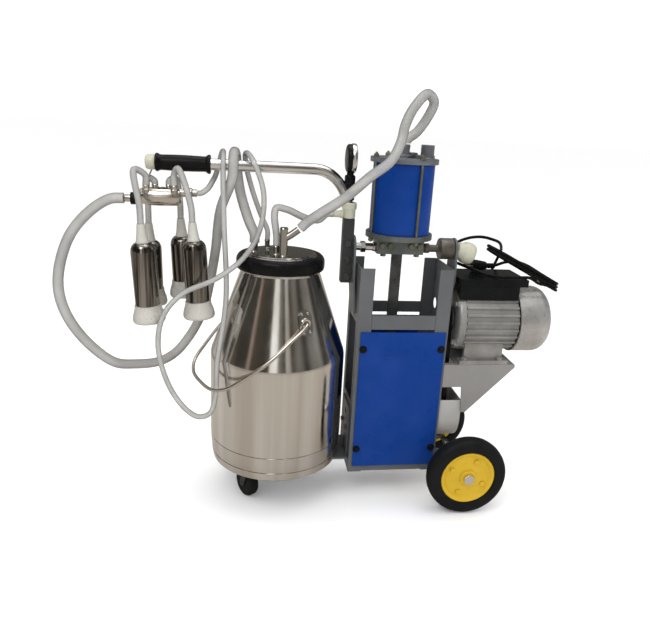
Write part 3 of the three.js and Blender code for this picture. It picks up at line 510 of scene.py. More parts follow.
MILK_ROUTE = [
    (-627, -25, 736), (-656, -25, 733), (-699, -25, 705), (-744, -25, 651), (-772, -26, 572),
    (-774, -28, 514), (-756, -28, 455), (-716, -27, 396), (-667, -10, 346), (-627, 22, 328), (-572, 58, 321),
    (-536, 84, 335), (-508, 98, 366), (-486, 102, 402), (-466, 98, 450), (-450, 84, 520), (-434, 44, 612),
    (-421, 8, 712), (-394, -28, 790), (-392, -24, 828), (-390, 0, 844), (-387, 23, 834), (-385, 31, 806),
    (-376, 24, 750), (-356, 2, 690), (-343, -15, 662), (-343, -15, 644.5),
]
PULSE_ROUTE = [
    (-469.6, -25, 752), (-462, -25, 752.5), (-448, -20, 762), (-438, -4, 778), (-432, 16, 790),
    (-426, 27, 812), (-419, 18, 838), (-415, 0, 844), (-414, -20, 836), (-414, -31, 806), (-412, -36, 700),
    (-406, -60, 520), (-424, -96, 380), (-428, -110, 300), (-440, -117, 262), (-464, -118, 254),
    (-492, -118, 272), (-530, -113, 330), (-552, -107, 420), (-540, -106, 492), (-500, -106, 542),
    (-430, -100, 575), (-381, -78, 606), (-356, -52, 630), (-338, -42, 660), (-326, -36, 705),
    (-325, -32, 760), (-341, -28, 812), (-358, -10, 840), (-366, 14, 840), (-364, 32, 812), (-350, 38, 760),
    (-328, 36, 700), (-312, 30, 664), (-312, 30, 644.5),
]
LID_VACUUM_ROUTE = [
    (-294, -45, 644.5), (-294, -45, 664), (-300, -44, 712), (-296, -40, 728), (-270, -34, 724),
    (-230, -24, 706), (-196, -12, 700), (-176, -1, 713.5), (-160.6, 0, 714),
]
PUMP_VACUUM_ROUTE = [
    (-241, -60, 688), (-228, -66, 702), (-203, -88, 725), (-153, -110, 764), (-103, -118, 811),
    (-60, -119, 847), (-40, -112, 886), (-29, -92, 920), (-3, -58, 960), (31, -36, 990), (50, -25, 974),
    (42, -17, 944), (20, -11, 908), (2, -8.5, 893), (-2, -8, 886), (-2, -8, 881.5),
]
HANK_LOOP = [
    (60, -21), (84, -17), (96, 0), (84, 17), (60, 21), (0, 8), (-60, 21), (-84, 17), (-96, 0), (-84, -17),
    (-60, -21), (0, -8),
]


def hank_route():
    """Two turns of a hank and a little more, climbing as it winds."""
    points = []
    for i in range(29):
        along, across = HANK_LOOP[i % 12]
        points.append((318 + along, -22 + across, 590.4 + 8.4 * i / 12 - 0.5 * along))
    return points


CORD_ROUTE = [
    (285, 57.6, 545), (285, 84, 545), (292, 104, 560), (303, 106, 590), (304, 88, 620), (286, 62, 645),
    (262, 50, 655), (228, 45, 662), (192, 44, 658), (162, 45, 644), (147, 46, 624), (151, 36, 604),
    (168, 14, 597), (194, -18, 591), (224, -42, 584), (252, -50, 580.8), (290, -52, 580.8), (326, -50, 580.4),
    (354, -46, 566), *hank_route(), (342, 10, 599), (314, 18, 606), (290, 25, 602), (270, 28, 594),
    (258, 28, 591.6), (240, 28, 591.6),
]
flexible("milk_line", MILK_ROUTE, 11.5, "hose", "milk_hose")
flexible("pulse_line", PULSE_ROUTE, 6, "hose", "pulse_hose")
flexible("lid_vacuum_line", LID_VACUUM_ROUTE, 8, "hose", "lid_vacuum_hose")
rocking("pump_vacuum_line", PUMP_VACUUM_ROUTE, 11, "hose", "pump_vacuum_hose")


def make_plug():
    """The moulded plug at the cord's end and the tapered boot where it enters the terminal box."""
    centre = (0, 28, 591.6)
    body = [(0, 204), (13.6, 204), (15, 205.6), (15, 211), (14, 220), (12, 232), (10.4, 240), (8, 243)]
    for x in range(244, 264, 4):
        body += [(7.2, x), (5.6, x + 1.4), (5.6, x + 2.4), (7, x + 3.4)]
    body += [(5, 266), (0, 266)]
    plug = piece("mains_plug", [lathe("x", body, 40, centre)], "rubber", "cart", angle=40)
    pins = [disc("x", 186, 205, 2.4, 20, (0, 28 + side * 9.5, 591.6), 0.8) for side in (-1, 1)]
    metal = piece("mains_plug_pins", pins, "brass", "cart")
    boot = [(0, 57.4), (9, 57.4), (9, 60), (6.4, 61.4)]
    for y in range(63, 81, 3):
        slimmer = (y - 63) * 0.06
        boot += [(6.6 - slimmer, y), (5.6 - slimmer, y + 1), (5.6 - slimmer, y + 2)]
    boot += [(4.4, 82), (0, 82)]
    piece("mains_boot", [lathe("y", boot, 32, (285, 0, 545))], "rubber", "cart", angle=40)
    return plug, metal


flexible("mains_lead", CORD_ROUTE, 3.8, "cord", "mains_cord", make_plug())


# Bucket, lid, seal and bail

def make_bucket():
    foot = [(0, 116), (146, 116), (149, 114), (154, 104.6), (155.5, 104), (157, 104.6), (158.6, 112),
            (160.2, 122)]
    crease = [(160.4, 123.6), (159.7, 124.8), (160.3, 126), (162, 145), (162.8, 162.6)]
    seam = [(162.9, 163.6), (162.3, 164.6), (162.3, 165.4), (163, 166.4), (163, 168), (163, 366)]
    shoulder = [(162.9, 372), (162.3, 378), (160.8, 384)]
    cone = [(160.8 + (96 - 160.8) * t, 384 + (569 - 384) * t) for t in (0.12, 0.3, 0.5, 0.7, 0.9, 1)]
    neck = [(94.4, 573.5), (93.4, 577), (93.6, 579.5)]
    roll = arc(94.2, 584.2, 4.8, -70, 180, 10)
    inside = [(90, 576), (93.5, 568), (158.5, 379), (160.4, 368), (160.5, 162), (155, 119), (0, 119)]
    body = lathe("z", foot + crease + seam + shoulder + cone + neck + roll + inside, 128, (BUCKET_X, 0, 0))
    turn = Matrix.Translation((BUCKET_X, 0, 0)) @ Matrix.Rotation(BAIL_TURN, 4, "Z")
    shapes = [body]
    slope = math.atan2(160.8 - 96, 569 - 384)
    for side in (-1, 1):
        lean = Matrix.Rotation(side * slope, 4, "X")
        place = turn @ Matrix.Translation((0, side * 128.6, BAIL_PIVOT_Z)) @ lean
        pad = arc(0, 13, 17, 0, 180, 16) + arc(0, -13, 17, 180, 360, 16)
        shapes.append(moved(slab("y", pad, -1.4, 1.4), place))
        flip = Matrix.Rotation(math.pi, 4, "Z") if side < 0 else Matrix.Identity(4)
        for across, level in ((-8, -21), (8, -21), (-8, 21), (8, 21)):
            rivet = lathe("y", [(0, 0), (3.4, 0), (3.2, 1.4), (1.8, 2.2), (0, 2.4)], 16, (across, 0, level))
            shapes.append(moved(rivet, place @ Matrix.Translation((0, side * 1.3, 0)) @ flip))
        eye = [(5.2, -1), (11.4, -1), (12, 0.5), (11.4, 5), (10, 5.8), (6, 5.8), (5.2, 5), (5.2, -1)]
        outward = turn @ Matrix.Translation((0, side * 127.5, BAIL_PIVOT_Z)) @ flip
        shapes.append(moved(lathe("y", eye, 28), outward))
    piece("bucket_shell", shapes, "spun", "cart", ("bucket",), angle=28)


def make_bail():
    droop = math.radians(38)
    half = [(0, -129.6), (0, -134), (0, -138), (10, -143), (60, -143), (120, -140), (180, -120), (225, -98),
            (248, -60), (254, 0)]
    bow = half + [(u, -v) for u, v in half[-2::-1]]
    line = [Vector((-u * math.cos(droop), v, BAIL_PIVOT_Z - u * math.sin(droop))) for u, v in bow]
    turn = Matrix.Translation((BUCKET_X, 0, 0)) @ Matrix.Rotation(BAIL_TURN, 4, "Z")
    wire = moved(pipe(route(line, 5), 4, 20), turn)
    piece("bail_wire", [wire], "steel", "bail", ("bail",), angle=50)


def make_lid():
    plate = [(0, 610), (84, 610), (86, 611), (86, 616.5), (84.5, 618.2), (79, 619), (77.5, 620.6), (74, 621),
             (30, 621.4), (0, 621.4)]
    centre = (BUCKET_X, 0, 0)
    shapes = [lathe("z", plate, 96, centre)]
    stems = [(-294, -45, 7, 644), (-278.5, -60, 9, 688), (-343, -15, 8, 644), (-312, 30, 6, 644)]
    for x, y, radius, top in stems:
        stem = [(0, 619), (radius + 5, 619), (radius + 4.6, 622.4), (radius + 1.4, 623.6), (radius, 625.5)]
        stem += [(radius, top - 6), (radius + 0.8, top - 3), (radius - 0.6, top), (0, top)]
        shapes.append(lathe("z", stem, 32, (x, y, 0)))
    branch = route([(-278.5, -60, 662), (-262, -60, 672), (-246, -60, 684)], 4)
    shapes.append(pipe(branch, 8, 24))
    piece("lid_plate", shapes, "lid", "cart", ("lid",), angle=30)
    rim = [(80, 589.4), (98.9, 589.4), (98.9, 584.6), (99.5, 584), (102.6, 584)] + arc(101, 588, 3, -60, 0, 4)
    rim += [(104.4, 596), (104.3, 603), (103.4, 607.5), (100.8, 612), (96.6, 616), (93.5, 617), (88, 617)]
    rim += [(87, 616.2), (87, 609.7), (80, 609.7), (80, 589.4)]
    piece("lid_seal_ring", [lathe("z", rim, 96, centre)], "rubber", "cart", ("lid_seal",), angle=40)


# Frame: the CAD sheets with eased edges, plus the screws the covers carry

SHEETS = (
    "frame_left_side", "frame_right_side", "base_tray", "motor_shelf", "bucket_platform", "front_beam",
    "rear_beam", "trunnion_bracket_left", "trunnion_bracket_right",
)


def make_frame():
    for node in SHEETS:
        carried(node, "pale_frame" if node == "motor_shelf" else "frame", 0.8)
    carried("rear_axle", "chrome", 0.4)
    carried("pulley_guard", "guard", 0.8)
    for label, side in (("front", -1), ("rear", 1)):
        inner, outer = side * 70.3, side * 73.3
        low, high = min(inner, outer), max(inner, outer)
        shapes = [block(-90, 121, low, high, 86, 445)]
        for z in (385.5, 397.5):
            rib = [(-29, z), *arc(-29, z, 1.6, 90, 270, 6), *arc(31, z, 1.6, -90, 90, 6)]
            shapes.append(slab("y", rib[1:], outer - side * 0.5, outer + side * 0.9))
        piece(f"{label}_cover_sheet", shapes, "blue", "cart", (f"{label}_cover",), bevel=0.9)
        heads = []
        for x in (-82, 112):
            for z in (135, 402):
                head = hexagon("y", 0, 5.4, 13, (x, outer if side > 0 else outer - 5.4, z), 17)
                washer = disc("y", 0, 1.3, 9.4, 28, (x, outer if side > 0 else outer - 1.3, z), 0.4)
                heads += [head, washer]
        piece(f"{label}_cover_screws", heads, "plastic", "cart")


# Wheels and casters

def make_wheels():
    for label, side in (("front", -1), ("rear", 1)):
        centre = (WHEEL_X, side * 148, 100)
        half = [(68.7, -18), (70, -20.4), (75, -22), (84, -21.6), (90.5, -20.4), (95.2, -17.2), (98.2, -12.4)]
        half += [(98.5, -11.2), (97.7, -10.6), (98.8, -9.6), (99.6, -6.4), (99.9, -2.6)]
        tread = half + [(r, -h) for r, h in reversed(half)] + [half[0]]
        tyre = [lathe("y", tread, 120, centre)]
        piece(f"tyre_{label}_rubber", tyre, "tyre", f"wheel_{label}", (f"tyre_{label}",), angle=24)
        dish = [(8.3, -20), (18.4, -20), (20, -18.6), (20.4, -13.6), (23, -12), (30, -11.4), (52, -9.6),
                (56, -10.4), (60, -14.4), (63, -16.6), (66.4, -17), (68, -16)]
        dish = dish + [(r, -h) for r, h in reversed(dish)] + [dish[0]]
        shapes = [lathe("y", dish, 96, centre)]
        for face in (-1, 1):
            for k in range(4):
                a = math.radians(63.5 + 90 * k)
                x, z = centre[0] + 45 * math.cos(a), centre[2] + 45 * math.sin(a)
                y = centre[1] + face * 10.4
                bolt = hexagon("y", 0, 4.2, 11, (x, y if face > 0 else y - 4.2, z), 20 * k)
                shapes.append(bolt)
                b = a + math.radians(38)
                x, z = centre[0] + 33 * math.cos(b), centre[2] + 33 * math.sin(b)
                shapes.append(disc("y", 0, 1.2, 5.2, 20, (x, y if face > 0 else y - 1.2, z), 0.5))
        piece(f"rim_{label}_dish", shapes, "yellow", f"wheel_{label}", (f"rim_{label}",), angle=30)
    for label in ("front", "rear"):
        carried(f"caster_fork_{label}", "dark_steel", 0.5)
        carried(f"caster_wheel_{label}", "tyre", 0.8, 25)


# Handle, grip, post, regulator and gauge

def make_handle():
    path = [(-556, 0, 814), (-500, 0, 814), (-300, 0, 814), (-226, 0, 814), (-197, 0, 813), (-176, 0, 806),
            (-158, 0, 793), (-144, 0, 776), (-133, 0, 754), (-126, 0, 732), (POST_X, 0, 710),
            (POST_X, 0, 686)]
    piece("handle_bar", [pipe(route(path, 6), 12.5, 32)], "chrome", "cart", ("handle_tube",), angle=50)
    centre = (0, 0, HANDLE_Z)
    outer = [(12.8, -562), (17, -562), (19.4, -560.4), (20, -558), (19.6, -555.4), (17.2, -552)]
    for i in range(13):
        outer.append((16.8 + 0.9 * math.sin(math.pi * i / 12), -548 + i * 7.6))
    outer += [(17, -453), (19.4, -450), (21, -447.6), (21, -444), (19.6, -442), (12.8, -442), (12.8, -562)]
    piece("grip_sleeve", [lathe("x", outer, 48, centre)], "rubber", "cart", ("grip",), angle=35)
    cap = [(0, -583), (10, -583), (14.5, -581), (16.4, -576), (16.8, -566), (15.6, -562.4), (0, -562.4)]
    piece("handle_end_cap", [lathe("x", cap, 40, centre)], "white", "cart", angle=35)
    hook = route([(-570, 0, 797), (-574, -3, 786), (-570, -8, 772), (-560, -14, 764), (-551, -20, 760)], 3)
    piece("claw_hook", [pipe(hook, 1.8, 12)], "steel", "cart", angle=60)
    carried("post", "dark_paint", 1.2)
    bolts = []
    for z in (566, 606, 646):
        bolts.append(hexagon("y", -5.2, 0, 13, (POST_X, -13, z), 12))
        bolts.append(disc("y", -14.4, -13, 9, 24, (POST_X, 0, z), 0.3))
    piece("post_bolts", bolts, "dark_steel", "cart", angle=30)
    body = [(12.8, 706), (14.4, 706), (15, 707.2), (15, 724), (16.4, 726.6), (17.5, 728), (17.5, 734.4),
            (16.9, 735), (17.5, 735.6), (17.5, 740), (16, 742), (12.8, 742), (12.8, 706)]
    spout = [(0, -160), (6.6, -160), (8, -158.5), (8, -146), (9.8, -144), (9.8, -138), (0, -138)]
    shapes = [lathe("z", body, 56, (POST_X, 0, 0)), lathe("x", spout, 28, (0, 0, 714))]
    piece("regulator_body", shapes, "white", "cart", ("regulator",))
    sleeve = [(0, 747), (12, 747), (12.5, 748), (12.5, 762), (11.9, 763), (12.5, 764), (12.5, 786), (12, 787)]
    sleeve += [(12.5, 788), (12.5, 801), (11, 804), (8.4, 805), (8, 807), (8, 836), (0, 836)]
    gauge = (GAUGE_X, 0, GAUGE_Z)
    case = [(0, -11), (24, -11), (28.6, -10.2), (31, -8.4), (32, -5.4), (32, -0.4), (0, -0.4)]
    shapes = [lathe("z", sleeve, 40, (GAUGE_X, 0, 0)), lathe("x", case, 72, gauge)]
    piece("gauge_case", shapes, "plastic", "cart", ("vacuum_gauge",))
    bezel = [(30.4, -0.4), (32.4, -0.4), (33.5, 1), (33.5, 8.2), (32.2, 10), (29, 10), (28, 8.6), (28, 5),
             (30.4, -0.4)]
    piece("gauge_bezel", [lathe("x", bezel, 72, gauge)], "chrome", "cart", angle=40)
    piece("gauge_dial", [disc("x", 0, 3, 28.6, 64, gauge)], "dial", "cart")
    marks = []
    for k in range(21):
        size = 4.6 if k % 5 == 0 else 2.4
        half = 0.6 if k % 5 == 0 else 0.35
        spin = Matrix.Rotation(math.radians(135 - 270 * k / 20), 4, "X")
        mark = block(3, 3.3, -half, half, 23 - size, 23)
        marks.append(moved(mark, Matrix.Translation(gauge) @ spin))
    needle = slab("x", [(-1.1, -6), (1.1, -6), (0.3, 19), (-0.3, 19)], 3.6, 4)
    marks.append(moved(needle, Matrix.Translation(gauge) @ Matrix.Rotation(2.1, 4, "X")))
    marks.append(disc("x", 3, 5, 3, 24, gauge))
    piece("gauge_marks", marks, "plastic", "cart")


# Pump: heads, barrel, tie rods, trunnions, piston

def make_pump():
    shell = [(66, 676.3), (71.7, 676.3), (71.7, 837.7), (66, 837.7), (66, 676.3)]
    piece("barrel_shell", [lathe("z", shell, 96)], "blue", "pump", ("pump_barrel",), bevel=0.6)
    bosses = [(76 * math.cos(a), 76 * math.sin(a)) for a in TIE_ROD_ANGLES]
    top = [disc("z", 838, 850, 79.5, 96, edge=1.4)]
    port = [(12, 854), (12, 880), (13, 881), (14.6, 881), (15.5, 880), (15.5, 853), (17, 850.5), (17, 849),
            (12, 849), (12, 854)]
    top.append(lathe("z", port, 48, (50, -10, 0)))
    top.append(disc("z", 849, 862, 14, 40, (18, 8, 0), 2.4))
    top.append(hexagon("z", 849, 858.5, 20, (28, -30, 0), 10))
    nipple = [(0, 849), (15, 849), (15, 855), (12, 856.5), (10, 858), (10, 872), (10.8, 875), (9.6, 880),
              (0, 880)]
    top.append(lathe("z", nipple, 40, (-2, -8, 0)))
    piece("top_head_plate", top, "head", "pump", ("pump_top_head",), angle=28)
    carried("pump_bottom_head", "valve", 1.0, 25)
    clamp = []
    for x in (-38, 44):
        for y in (-16, 16):
            clamp.append(hexagon("z", 619.5, 626, 13, (x, y, 0), 14))
    clamp += [hexagon("y", -32, -26, 12, (x, 0, 646), 8) for x in (-44, -24, 26, 48)]
    piece("valve_block_bolts", clamp, "brass", "pump")
    for i, (x, y) in enumerate(bosses):
        rod = lathe("z", [(0, 655), (2.4, 655), (3, 656), (3, 860), (2.4, 861), (0, 861)], 20, (x, y, 0))
        top_nut = hexagon("z", 850.3, 857, 11.2, (x, y, 0), 23 * i)
        low_nut = hexagon("z", 657, 663.7, 11.2, (x, y, 0), 31 * i)
        washer = disc("z", 850.1, 851.6, 7.4, 28, (x, y, 0), 0.4)
        shapes = [rod, top_nut, low_nut, washer]
        piece(f"tie_rod_{i + 1}_steel", shapes, "brass", "pump", (f"tie_rod_{i + 1}",))
    trunnion = (0, 0, TRUNNION_Z)
    left = [(0, -109.8), (7.6, -109.8), (9, -108.2), (9, -62), (11, -61), (11, -50), (9, -49), (9, -35),
            (0, -35)]
    shapes = [lathe("x", left, 40, trunnion), hexagon("x", -91.3, -79.3, 24, trunnion, 5)]
    piece("left_trunnion", shapes, "chrome", "pump", ("trunnion_pipe_left",))
    right = [(0, 35), (9, 35), (9, 66), (12, 67), (12, 78), (9, 79), (9, 100)]
    right += [(22, 103.3), (25, 104.6), (26, 107), (26, 135), (24.6, 138), (22, 139), (9, 139), (9, 161),
              (0, 161)]
    piece("right_trunnion", [lathe("x", right, 56, trunnion)], "boss", "pump", ("trunnion_pipe_right",))
    can = [(0, 2), (17.4, 2), (18.6, 3), (19, 5), (20.6, 13), (21.4, 16), (24, 18), (26, 21), (27, 26),
           (27, 36), (25.8, 41.6), (23, 45.6), (18, 47.6), (0, 48)]
    droop = Matrix.Translation((147.3, 0, TRUNNION_Z)) @ Matrix.Rotation(math.radians(18), 4, "Y")
    piece("muffler_can", [moved(lathe("x", can, 64), droop)], "white", "pump", ("muffler",), angle=40)
    carried("piston_and_rod", "dark_steel", 0.8)


# Drive and motor

FIN = [(-0.5, 73), (-0.27, 73.2), (-0.2, 75), (-0.14, 79.4), (-0.08, 80), (0.08, 80), (0.14, 79.4), (0.2, 75),
       (0.27, 73.2)]


def make_drive():
    carried("crankshaft", "dark_steel", 0.6)
    for node in ("crank_pulley", "motor_pulley"):
        carried(node, "cast", 0.4)
    carried("v_belt", "rubber", 0.8)
    carried("motor_rotor", "dark_steel", 0.5)
    motor = (0, 0, MOTOR_Z)
    outline = []
    count = 26
    for i in range(count):
        mid = 2 * math.pi * (i + 0.5) / count
        for share, radius in FIN:
            a = mid + share * 2 * math.pi / count
            outline.append((radius * math.cos(a), MOTOR_Z + radius * math.sin(a)))
    shapes = [slab("x", outline, 170, 304)]
    shapes.append(lathe("x", [(57, 168.6), (74, 168.6), (74, 306), (57, 306), (57, 168.6)], 96, motor))
    for side in (-1, 1):
        low, high = sorted((side * 46, side * 70))
        shapes.append(block(164, 290, low, high, 360.3, 371))
        low, high = sorted((side * 47, side * 57))
        shapes.append(block(178, 278, low, high, 370, 412))
        for x in (178, 270):
            shapes.append(hexagon("z", 371, 378, 13, (x, side * 62, 0), 9))
            shapes.append(disc("z", 371, 372.4, 9.6, 28, (x, side * 62, 0), 0.4))
    piece("motor_body", shapes, "motor", "cart", ("motor_housing",), bevel=0.7, angle=30)
    bell = [(10, 157), (33, 157), (34.4, 156), (36, 153), (38.4, 151.2), (40, 151), (72, 151), (75.6, 151.8),
            (78, 154), (79, 157), (79, 168.3), (57, 168.3), (57, 175), (53, 175), (50, 169), (10, 167),
            (10, 157)]
    shapes = [lathe("x", bell, 96, motor)]
    for k in range(4):
        a = math.radians(45 + 90 * k)
        y, z = 70 * math.cos(a), MOTOR_Z + 70 * math.sin(a)
        shapes.append(lathe("x", [(0, 149), (8, 149), (9.4, 150.4), (10, 168), (0, 168)], 28, (0, y, z)))
        shapes.append(hexagon("x", 144, 149, 11, (0, y, z), 15 * k))
    piece("motor_bell", shapes, "motor", "cart", ("motor_end_bell",), angle=30)
    cover = [(79, 306.5), (83.4, 306.5), (84, 307.2), (84, 362), (83.6, 368), (81.8, 375), (78, 382),
             (72, 388), (64, 392), (54, 395), (46, 396.4)]
    cover += [(46, 394.6), (53, 393.2), (63, 390.2), (70.6, 386.4), (76.4, 381), (80, 374.4), (81.6, 368),
              (82, 362), (82, 309), (79, 309), (79, 306.5)]
    shapes = [lathe("x", cover, 112, motor)]
    for r in (20, 28, 36, 44):
        ring = [(r, 394.4), (r + 3.4, 394.4), (r + 3.4, 396.4), (r, 396.4), (r, 394.4)]
        shapes.append(lathe("x", ring, 80, motor))
    shapes.append(disc("x", 394.2, 396.8, 14, 48, motor, 0.8))
    for k in range(6):
        bar = block(394.6, 396, -1.6, 1.6, 12, 50)
        spin = Matrix.Rotation(math.radians(60 * k + 30), 4, "X")
        shapes.append(moved(bar, Matrix.Translation(motor) @ spin))
    piece("fan_cowl", shapes, "cowl", "cart", ("fan_cover",), angle=30)
    carried("terminal_box", "plastic", 1.6)


# Milking cluster

def make_cluster():
    bowl = [(0, -46), (12, -46), (15, -44.6), (17, -41), (18.6, -30), (20, -16), (20.3, 0), (20, 16),
            (19, 34), (17.6, 40), (14, 44), (0, 44)]
    shapes = [lathe("x", bowl, 48, CLAW)]
    for dx, dy in ((-30, -12), (30, -12), (16, 12), (-14, 12)):
        stub = [(0, 750), (8.4, 750), (8.4, 758), (7, 760), (7, 765), (7.6, 766.4), (6.6, 768), (0, 768)]
        shapes.append(lathe("z", stub, 28, (CLAW[0] + dx, CLAW[1] + dy, 0)))
    outlet = [(0, -626), (7.2, -626), (8, -624.6), (8, -606), (10, -604), (10, -598), (8, -596), (8, -588),
              (0, -588)]
    shapes.append(lathe("x", outlet, 28, (0, CLAW[1], 736)))
    spigot = [(0, -508), (9, -508), (9, -492), (10.6, -490), (10.6, -482), (8, -480), (8, -471), (0, -470)]
    shapes.append(lathe("x", spigot, 28, (0, CLAW[1], 752)))
    shapes.append(block(-552, -544, -28, 14, 752, 759))
    piece("claw_bowl", shapes, "steel", "cart", ("claw",), angle=30)
    band = [(10.4, -612), (13, -612), (13.4, -610), (13.4, -604), (13, -602), (10.4, -602), (10.4, -612)]
    piece("claw_band", [lathe("x", band, 32, (0, CLAW[1], 736))], "rubber", "cart")


CUPS = {
    "near_left": ((-585, -70, 664), (-574, -70, 468), (-30, -12), (-598, -56, 800)),
    "near_right": ((-478, -54, 668), (-466, -54, 474), (30, -12), (-508, -52, 806)),
    "far_right": ((-512, 34, 662), (-505, 34, 500), (16, 12), (-520, 16, 778)),
    "far_left": ((-584, 28, 650), (-582, 28, 480), (-14, 12), (-582, 14, 776)),
}


def make_cup(label, top, foot, nipple, crest):
    start, end = Vector(foot), Vector(top)
    n = (end - start).length
    tilt = (end - start).to_track_quat("Z", "Y").to_matrix().to_4x4()
    place = Matrix.Translation(start) @ tilt
    shell = [(25.8, 40), (26.8, 40.8), (27, 43), (26.6, n - 36), (25.6, n - 29), (23, n - 23), (18, n - 18),
             (14, n - 17), (14, n - 18.4), (17, n - 19.6), (22, n - 25), (24.8, n - 31), (25.6, n - 38),
             (25.8, 40)]
    mouth = [(11, 0.6), (30, 0.6), (33.4, 1.4), (35.2, 4.6), (35.6, 9), (34, 18), (31.4, 26), (29.2, 33),
             (29, 39.6), (26, 40.4), (14, 46), (10, 52), (10.4, 20), (11, 0.6)]
    cone = [(0, n - 19), (14, n - 19), (14.6, n - 16), (13, n - 12), (11.6, n - 4), (10.6, n + 4),
            (9, n + 18), (8, n + 24), (0, n + 24)]
    name = f"cup_{label}"
    piece(f"{name}_shell", [moved(lathe("z", shell, 64), place)], "cup", "cart", (f"teat_cup_{label}",))
    piece(f"{name}_mouthpiece", [moved(lathe("z", mouth, 64), place)], "liner", "cart", angle=50)
    piece(f"{name}_cone", [moved(lathe("z", cone, 48), place)], "liner", "cart", angle=50)
    neck = end.lerp(start, -20 / n)
    low = end.lerp(start, 4 / n)
    lead = (neck[0] * 0.9 + crest[0] * 0.1, neck[1] * 0.9 + crest[1] * 0.1, neck[2] + 40)
    stub = (CLAW[0] + nipple[0], CLAW[1] + nipple[1], CLAW[2] + 26.3)
    rise = (stub[0], stub[1], stub[2] * 0.4 + crest[2] * 0.6)
    flexible(f"{name}_tube", [low, neck, lead, crest, rise, stub], 7, "hose", None)


make_bucket()
make_bail()
make_lid()
make_frame()
make_wheels()
make_handle()
make_pump()
make_drive()
make_cluster()
for cup_label, cup_facts in CUPS.items():
    make_cup(cup_label, *cup_facts)


# Floor, lights and surroundings

def make_floor():
    """A wide white floor that polished steel mirrors as a warm grey one."""
    mesh = bpy.data.meshes.new("floor")
    mesh.from_pydata([(-60, -30, 0), (60, -30, 0), (60, 90, 0), (-60, 90, 0)], [], [(0, 1, 2, 3)])
    floor = bpy.data.objects.new("floor", mesh)
    made = shade("pale_floor", (0.96, 0.96, 0.96), 0.6)
    nodes, links = made.node_tree.nodes, made.node_tree.links
    ramp = vary_colour(made, noise(made, 3, 3), (0.95, 0.95, 0.95), (0.97, 0.97, 0.97))
    rays = nodes.new("ShaderNodeLightPath")
    mix = nodes.new("ShaderNodeMix")
    mix.data_type = "RGBA"
    mix.inputs[7].default_value = (0.4, 0.365, 0.325, 1)
    links.new(rays.outputs["Is Glossy Ray"], mix.inputs["Factor"])
    links.new(ramp.outputs["Color"], mix.inputs[6])
    links.new(mix.outputs[2], nodes["Principled BSDF"].inputs["Base Color"])
    nodes["Principled BSDF"].inputs["Specular IOR Level"].default_value = 0.1
    mesh.materials.append(made)
    bpy.context.scene.collection.objects.link(floor)


def softbox(name, place, target, width, height, power):
    data = bpy.data.lights.new(name, "AREA")
    data.shape = "RECTANGLE"
    data.size = width
    data.size_y = height
    data.energy = power
    lamp = bpy.data.objects.new(name, data)
    lamp.location = place
    lamp.rotation_euler = (Vector(target) - Vector(place)).to_track_quat("-Z", "Y").to_euler()
    bpy.context.scene.collection.objects.link(lamp)
    return lamp


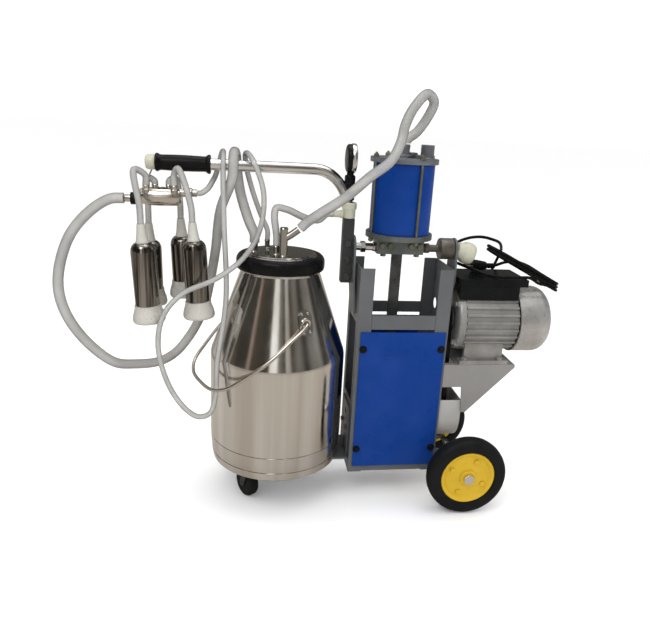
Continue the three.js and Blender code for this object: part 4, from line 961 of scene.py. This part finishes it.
def make_surroundings():
    """A white studio; polished metal mirrors a dark warm room with bright strips and a pale ceiling."""
    world = bpy.data.worlds.new("studio")
    bpy.context.scene.world = world
    world.use_nodes = True
    nodes, links = world.node_tree.nodes, world.node_tree.links
    nodes.clear()
    place = nodes.new("ShaderNodeTexCoord")
    split = nodes.new("ShaderNodeSeparateXYZ")
    links.new(place.outputs["Generated"], split.inputs["Vector"])
    turn = nodes.new("ShaderNodeMath")
    turn.operation = "ARCTAN2"
    links.new(split.outputs["Y"], turn.inputs[0])
    links.new(split.outputs["X"], turn.inputs[1])
    share = nodes.new("ShaderNodeMapRange")
    share.inputs["From Min"].default_value = -math.pi
    share.inputs["From Max"].default_value = math.pi
    links.new(turn.outputs["Value"], share.inputs["Value"])
    bands = nodes.new("ShaderNodeValToRGB")
    bands.color_ramp.interpolation = "EASE"
    dark, brown, grey = (0.05, 0.045, 0.038), (0.085, 0.07, 0.05), (0.2, 0.19, 0.175)
    stops = [
        (0.0, brown), (0.05, dark), (0.085, dark), (0.1, (0.42, 0.33, 0.29)), (0.116, brown), (0.17, dark),
        (0.198, brown), (0.208, (1, 0.98, 0.95)), (0.232, (1, 0.98, 0.95)), (0.248, grey), (0.275, brown),
        (0.283, (0.5, 0.49, 0.46)), (0.297, (0.42, 0.41, 0.38)), (0.307, brown), (0.345, grey), (0.38, dark),
        (0.42, grey), (0.455, (0.26, 0.255, 0.24)), (0.48, dark), (0.56, (0.3, 0.3, 0.31)), (0.64, grey),
        (0.7, (0.1, 0.1, 0.09)), (0.78, (0.13, 0.125, 0.11)), (0.86, (0.5, 0.49, 0.47)), (0.93, dark),
        (1.0, brown),
    ]
    ramp = bands.color_ramp
    while len(ramp.elements) < len(stops):
        ramp.elements.new(0.5)
    for element, (position, colour) in zip(ramp.elements, stops):
        element.position = position
        element.color = (*colour, 1)
    links.new(share.outputs["Result"], bands.inputs["Fac"])
    height = nodes.new("ShaderNodeMapRange")
    height.interpolation_type = "SMOOTHSTEP"
    height.inputs["From Min"].default_value = 0.62
    height.inputs["From Max"].default_value = 0.85
    links.new(split.outputs["Z"], height.inputs["Value"])
    ceiling = nodes.new("ShaderNodeMix")
    ceiling.data_type = "RGBA"
    ceiling.inputs[7].default_value = (0.95, 0.94, 0.92, 1)
    links.new(height.outputs["Result"], ceiling.inputs["Factor"])
    links.new(bands.outputs["Color"], ceiling.inputs[6])
    rays = nodes.new("ShaderNodeLightPath")
    white = nodes.new("ShaderNodeBackground")
    white.inputs["Color"].default_value = (1, 1, 1, 1)
    white.inputs["Strength"].default_value = 1.12
    room = nodes.new("ShaderNodeBackground")
    room.inputs["Strength"].default_value = 1.0
    links.new(ceiling.outputs[2], room.inputs["Color"])
    mixed = nodes.new("ShaderNodeMixShader")
    links.new(rays.outputs["Is Glossy Ray"], mixed.inputs["Fac"])
    links.new(white.outputs["Background"], mixed.inputs[1])
    links.new(room.outputs["Background"], mixed.inputs[2])
    output = nodes.new("ShaderNodeOutputWorld")
    links.new(mixed.outputs["Shader"], output.inputs["Surface"])


make_floor()
softbox("key", (-1.2, -1.6, 2.6), (0, 0, 0.5), 1.6, 1.2, 22)
softbox("top", (0.1, 0.2, 2.9), (0, 0, 0.4), 1.8, 1.4, 18)
side_light = softbox("side", (2.3, -0.8, 1.3), (0, 0, 0.5), 0.9, 1.6, 10)
side_light.visible_glossy = False
make_surroundings()
bpy.context.scene.view_settings.view_transform = "Standard"
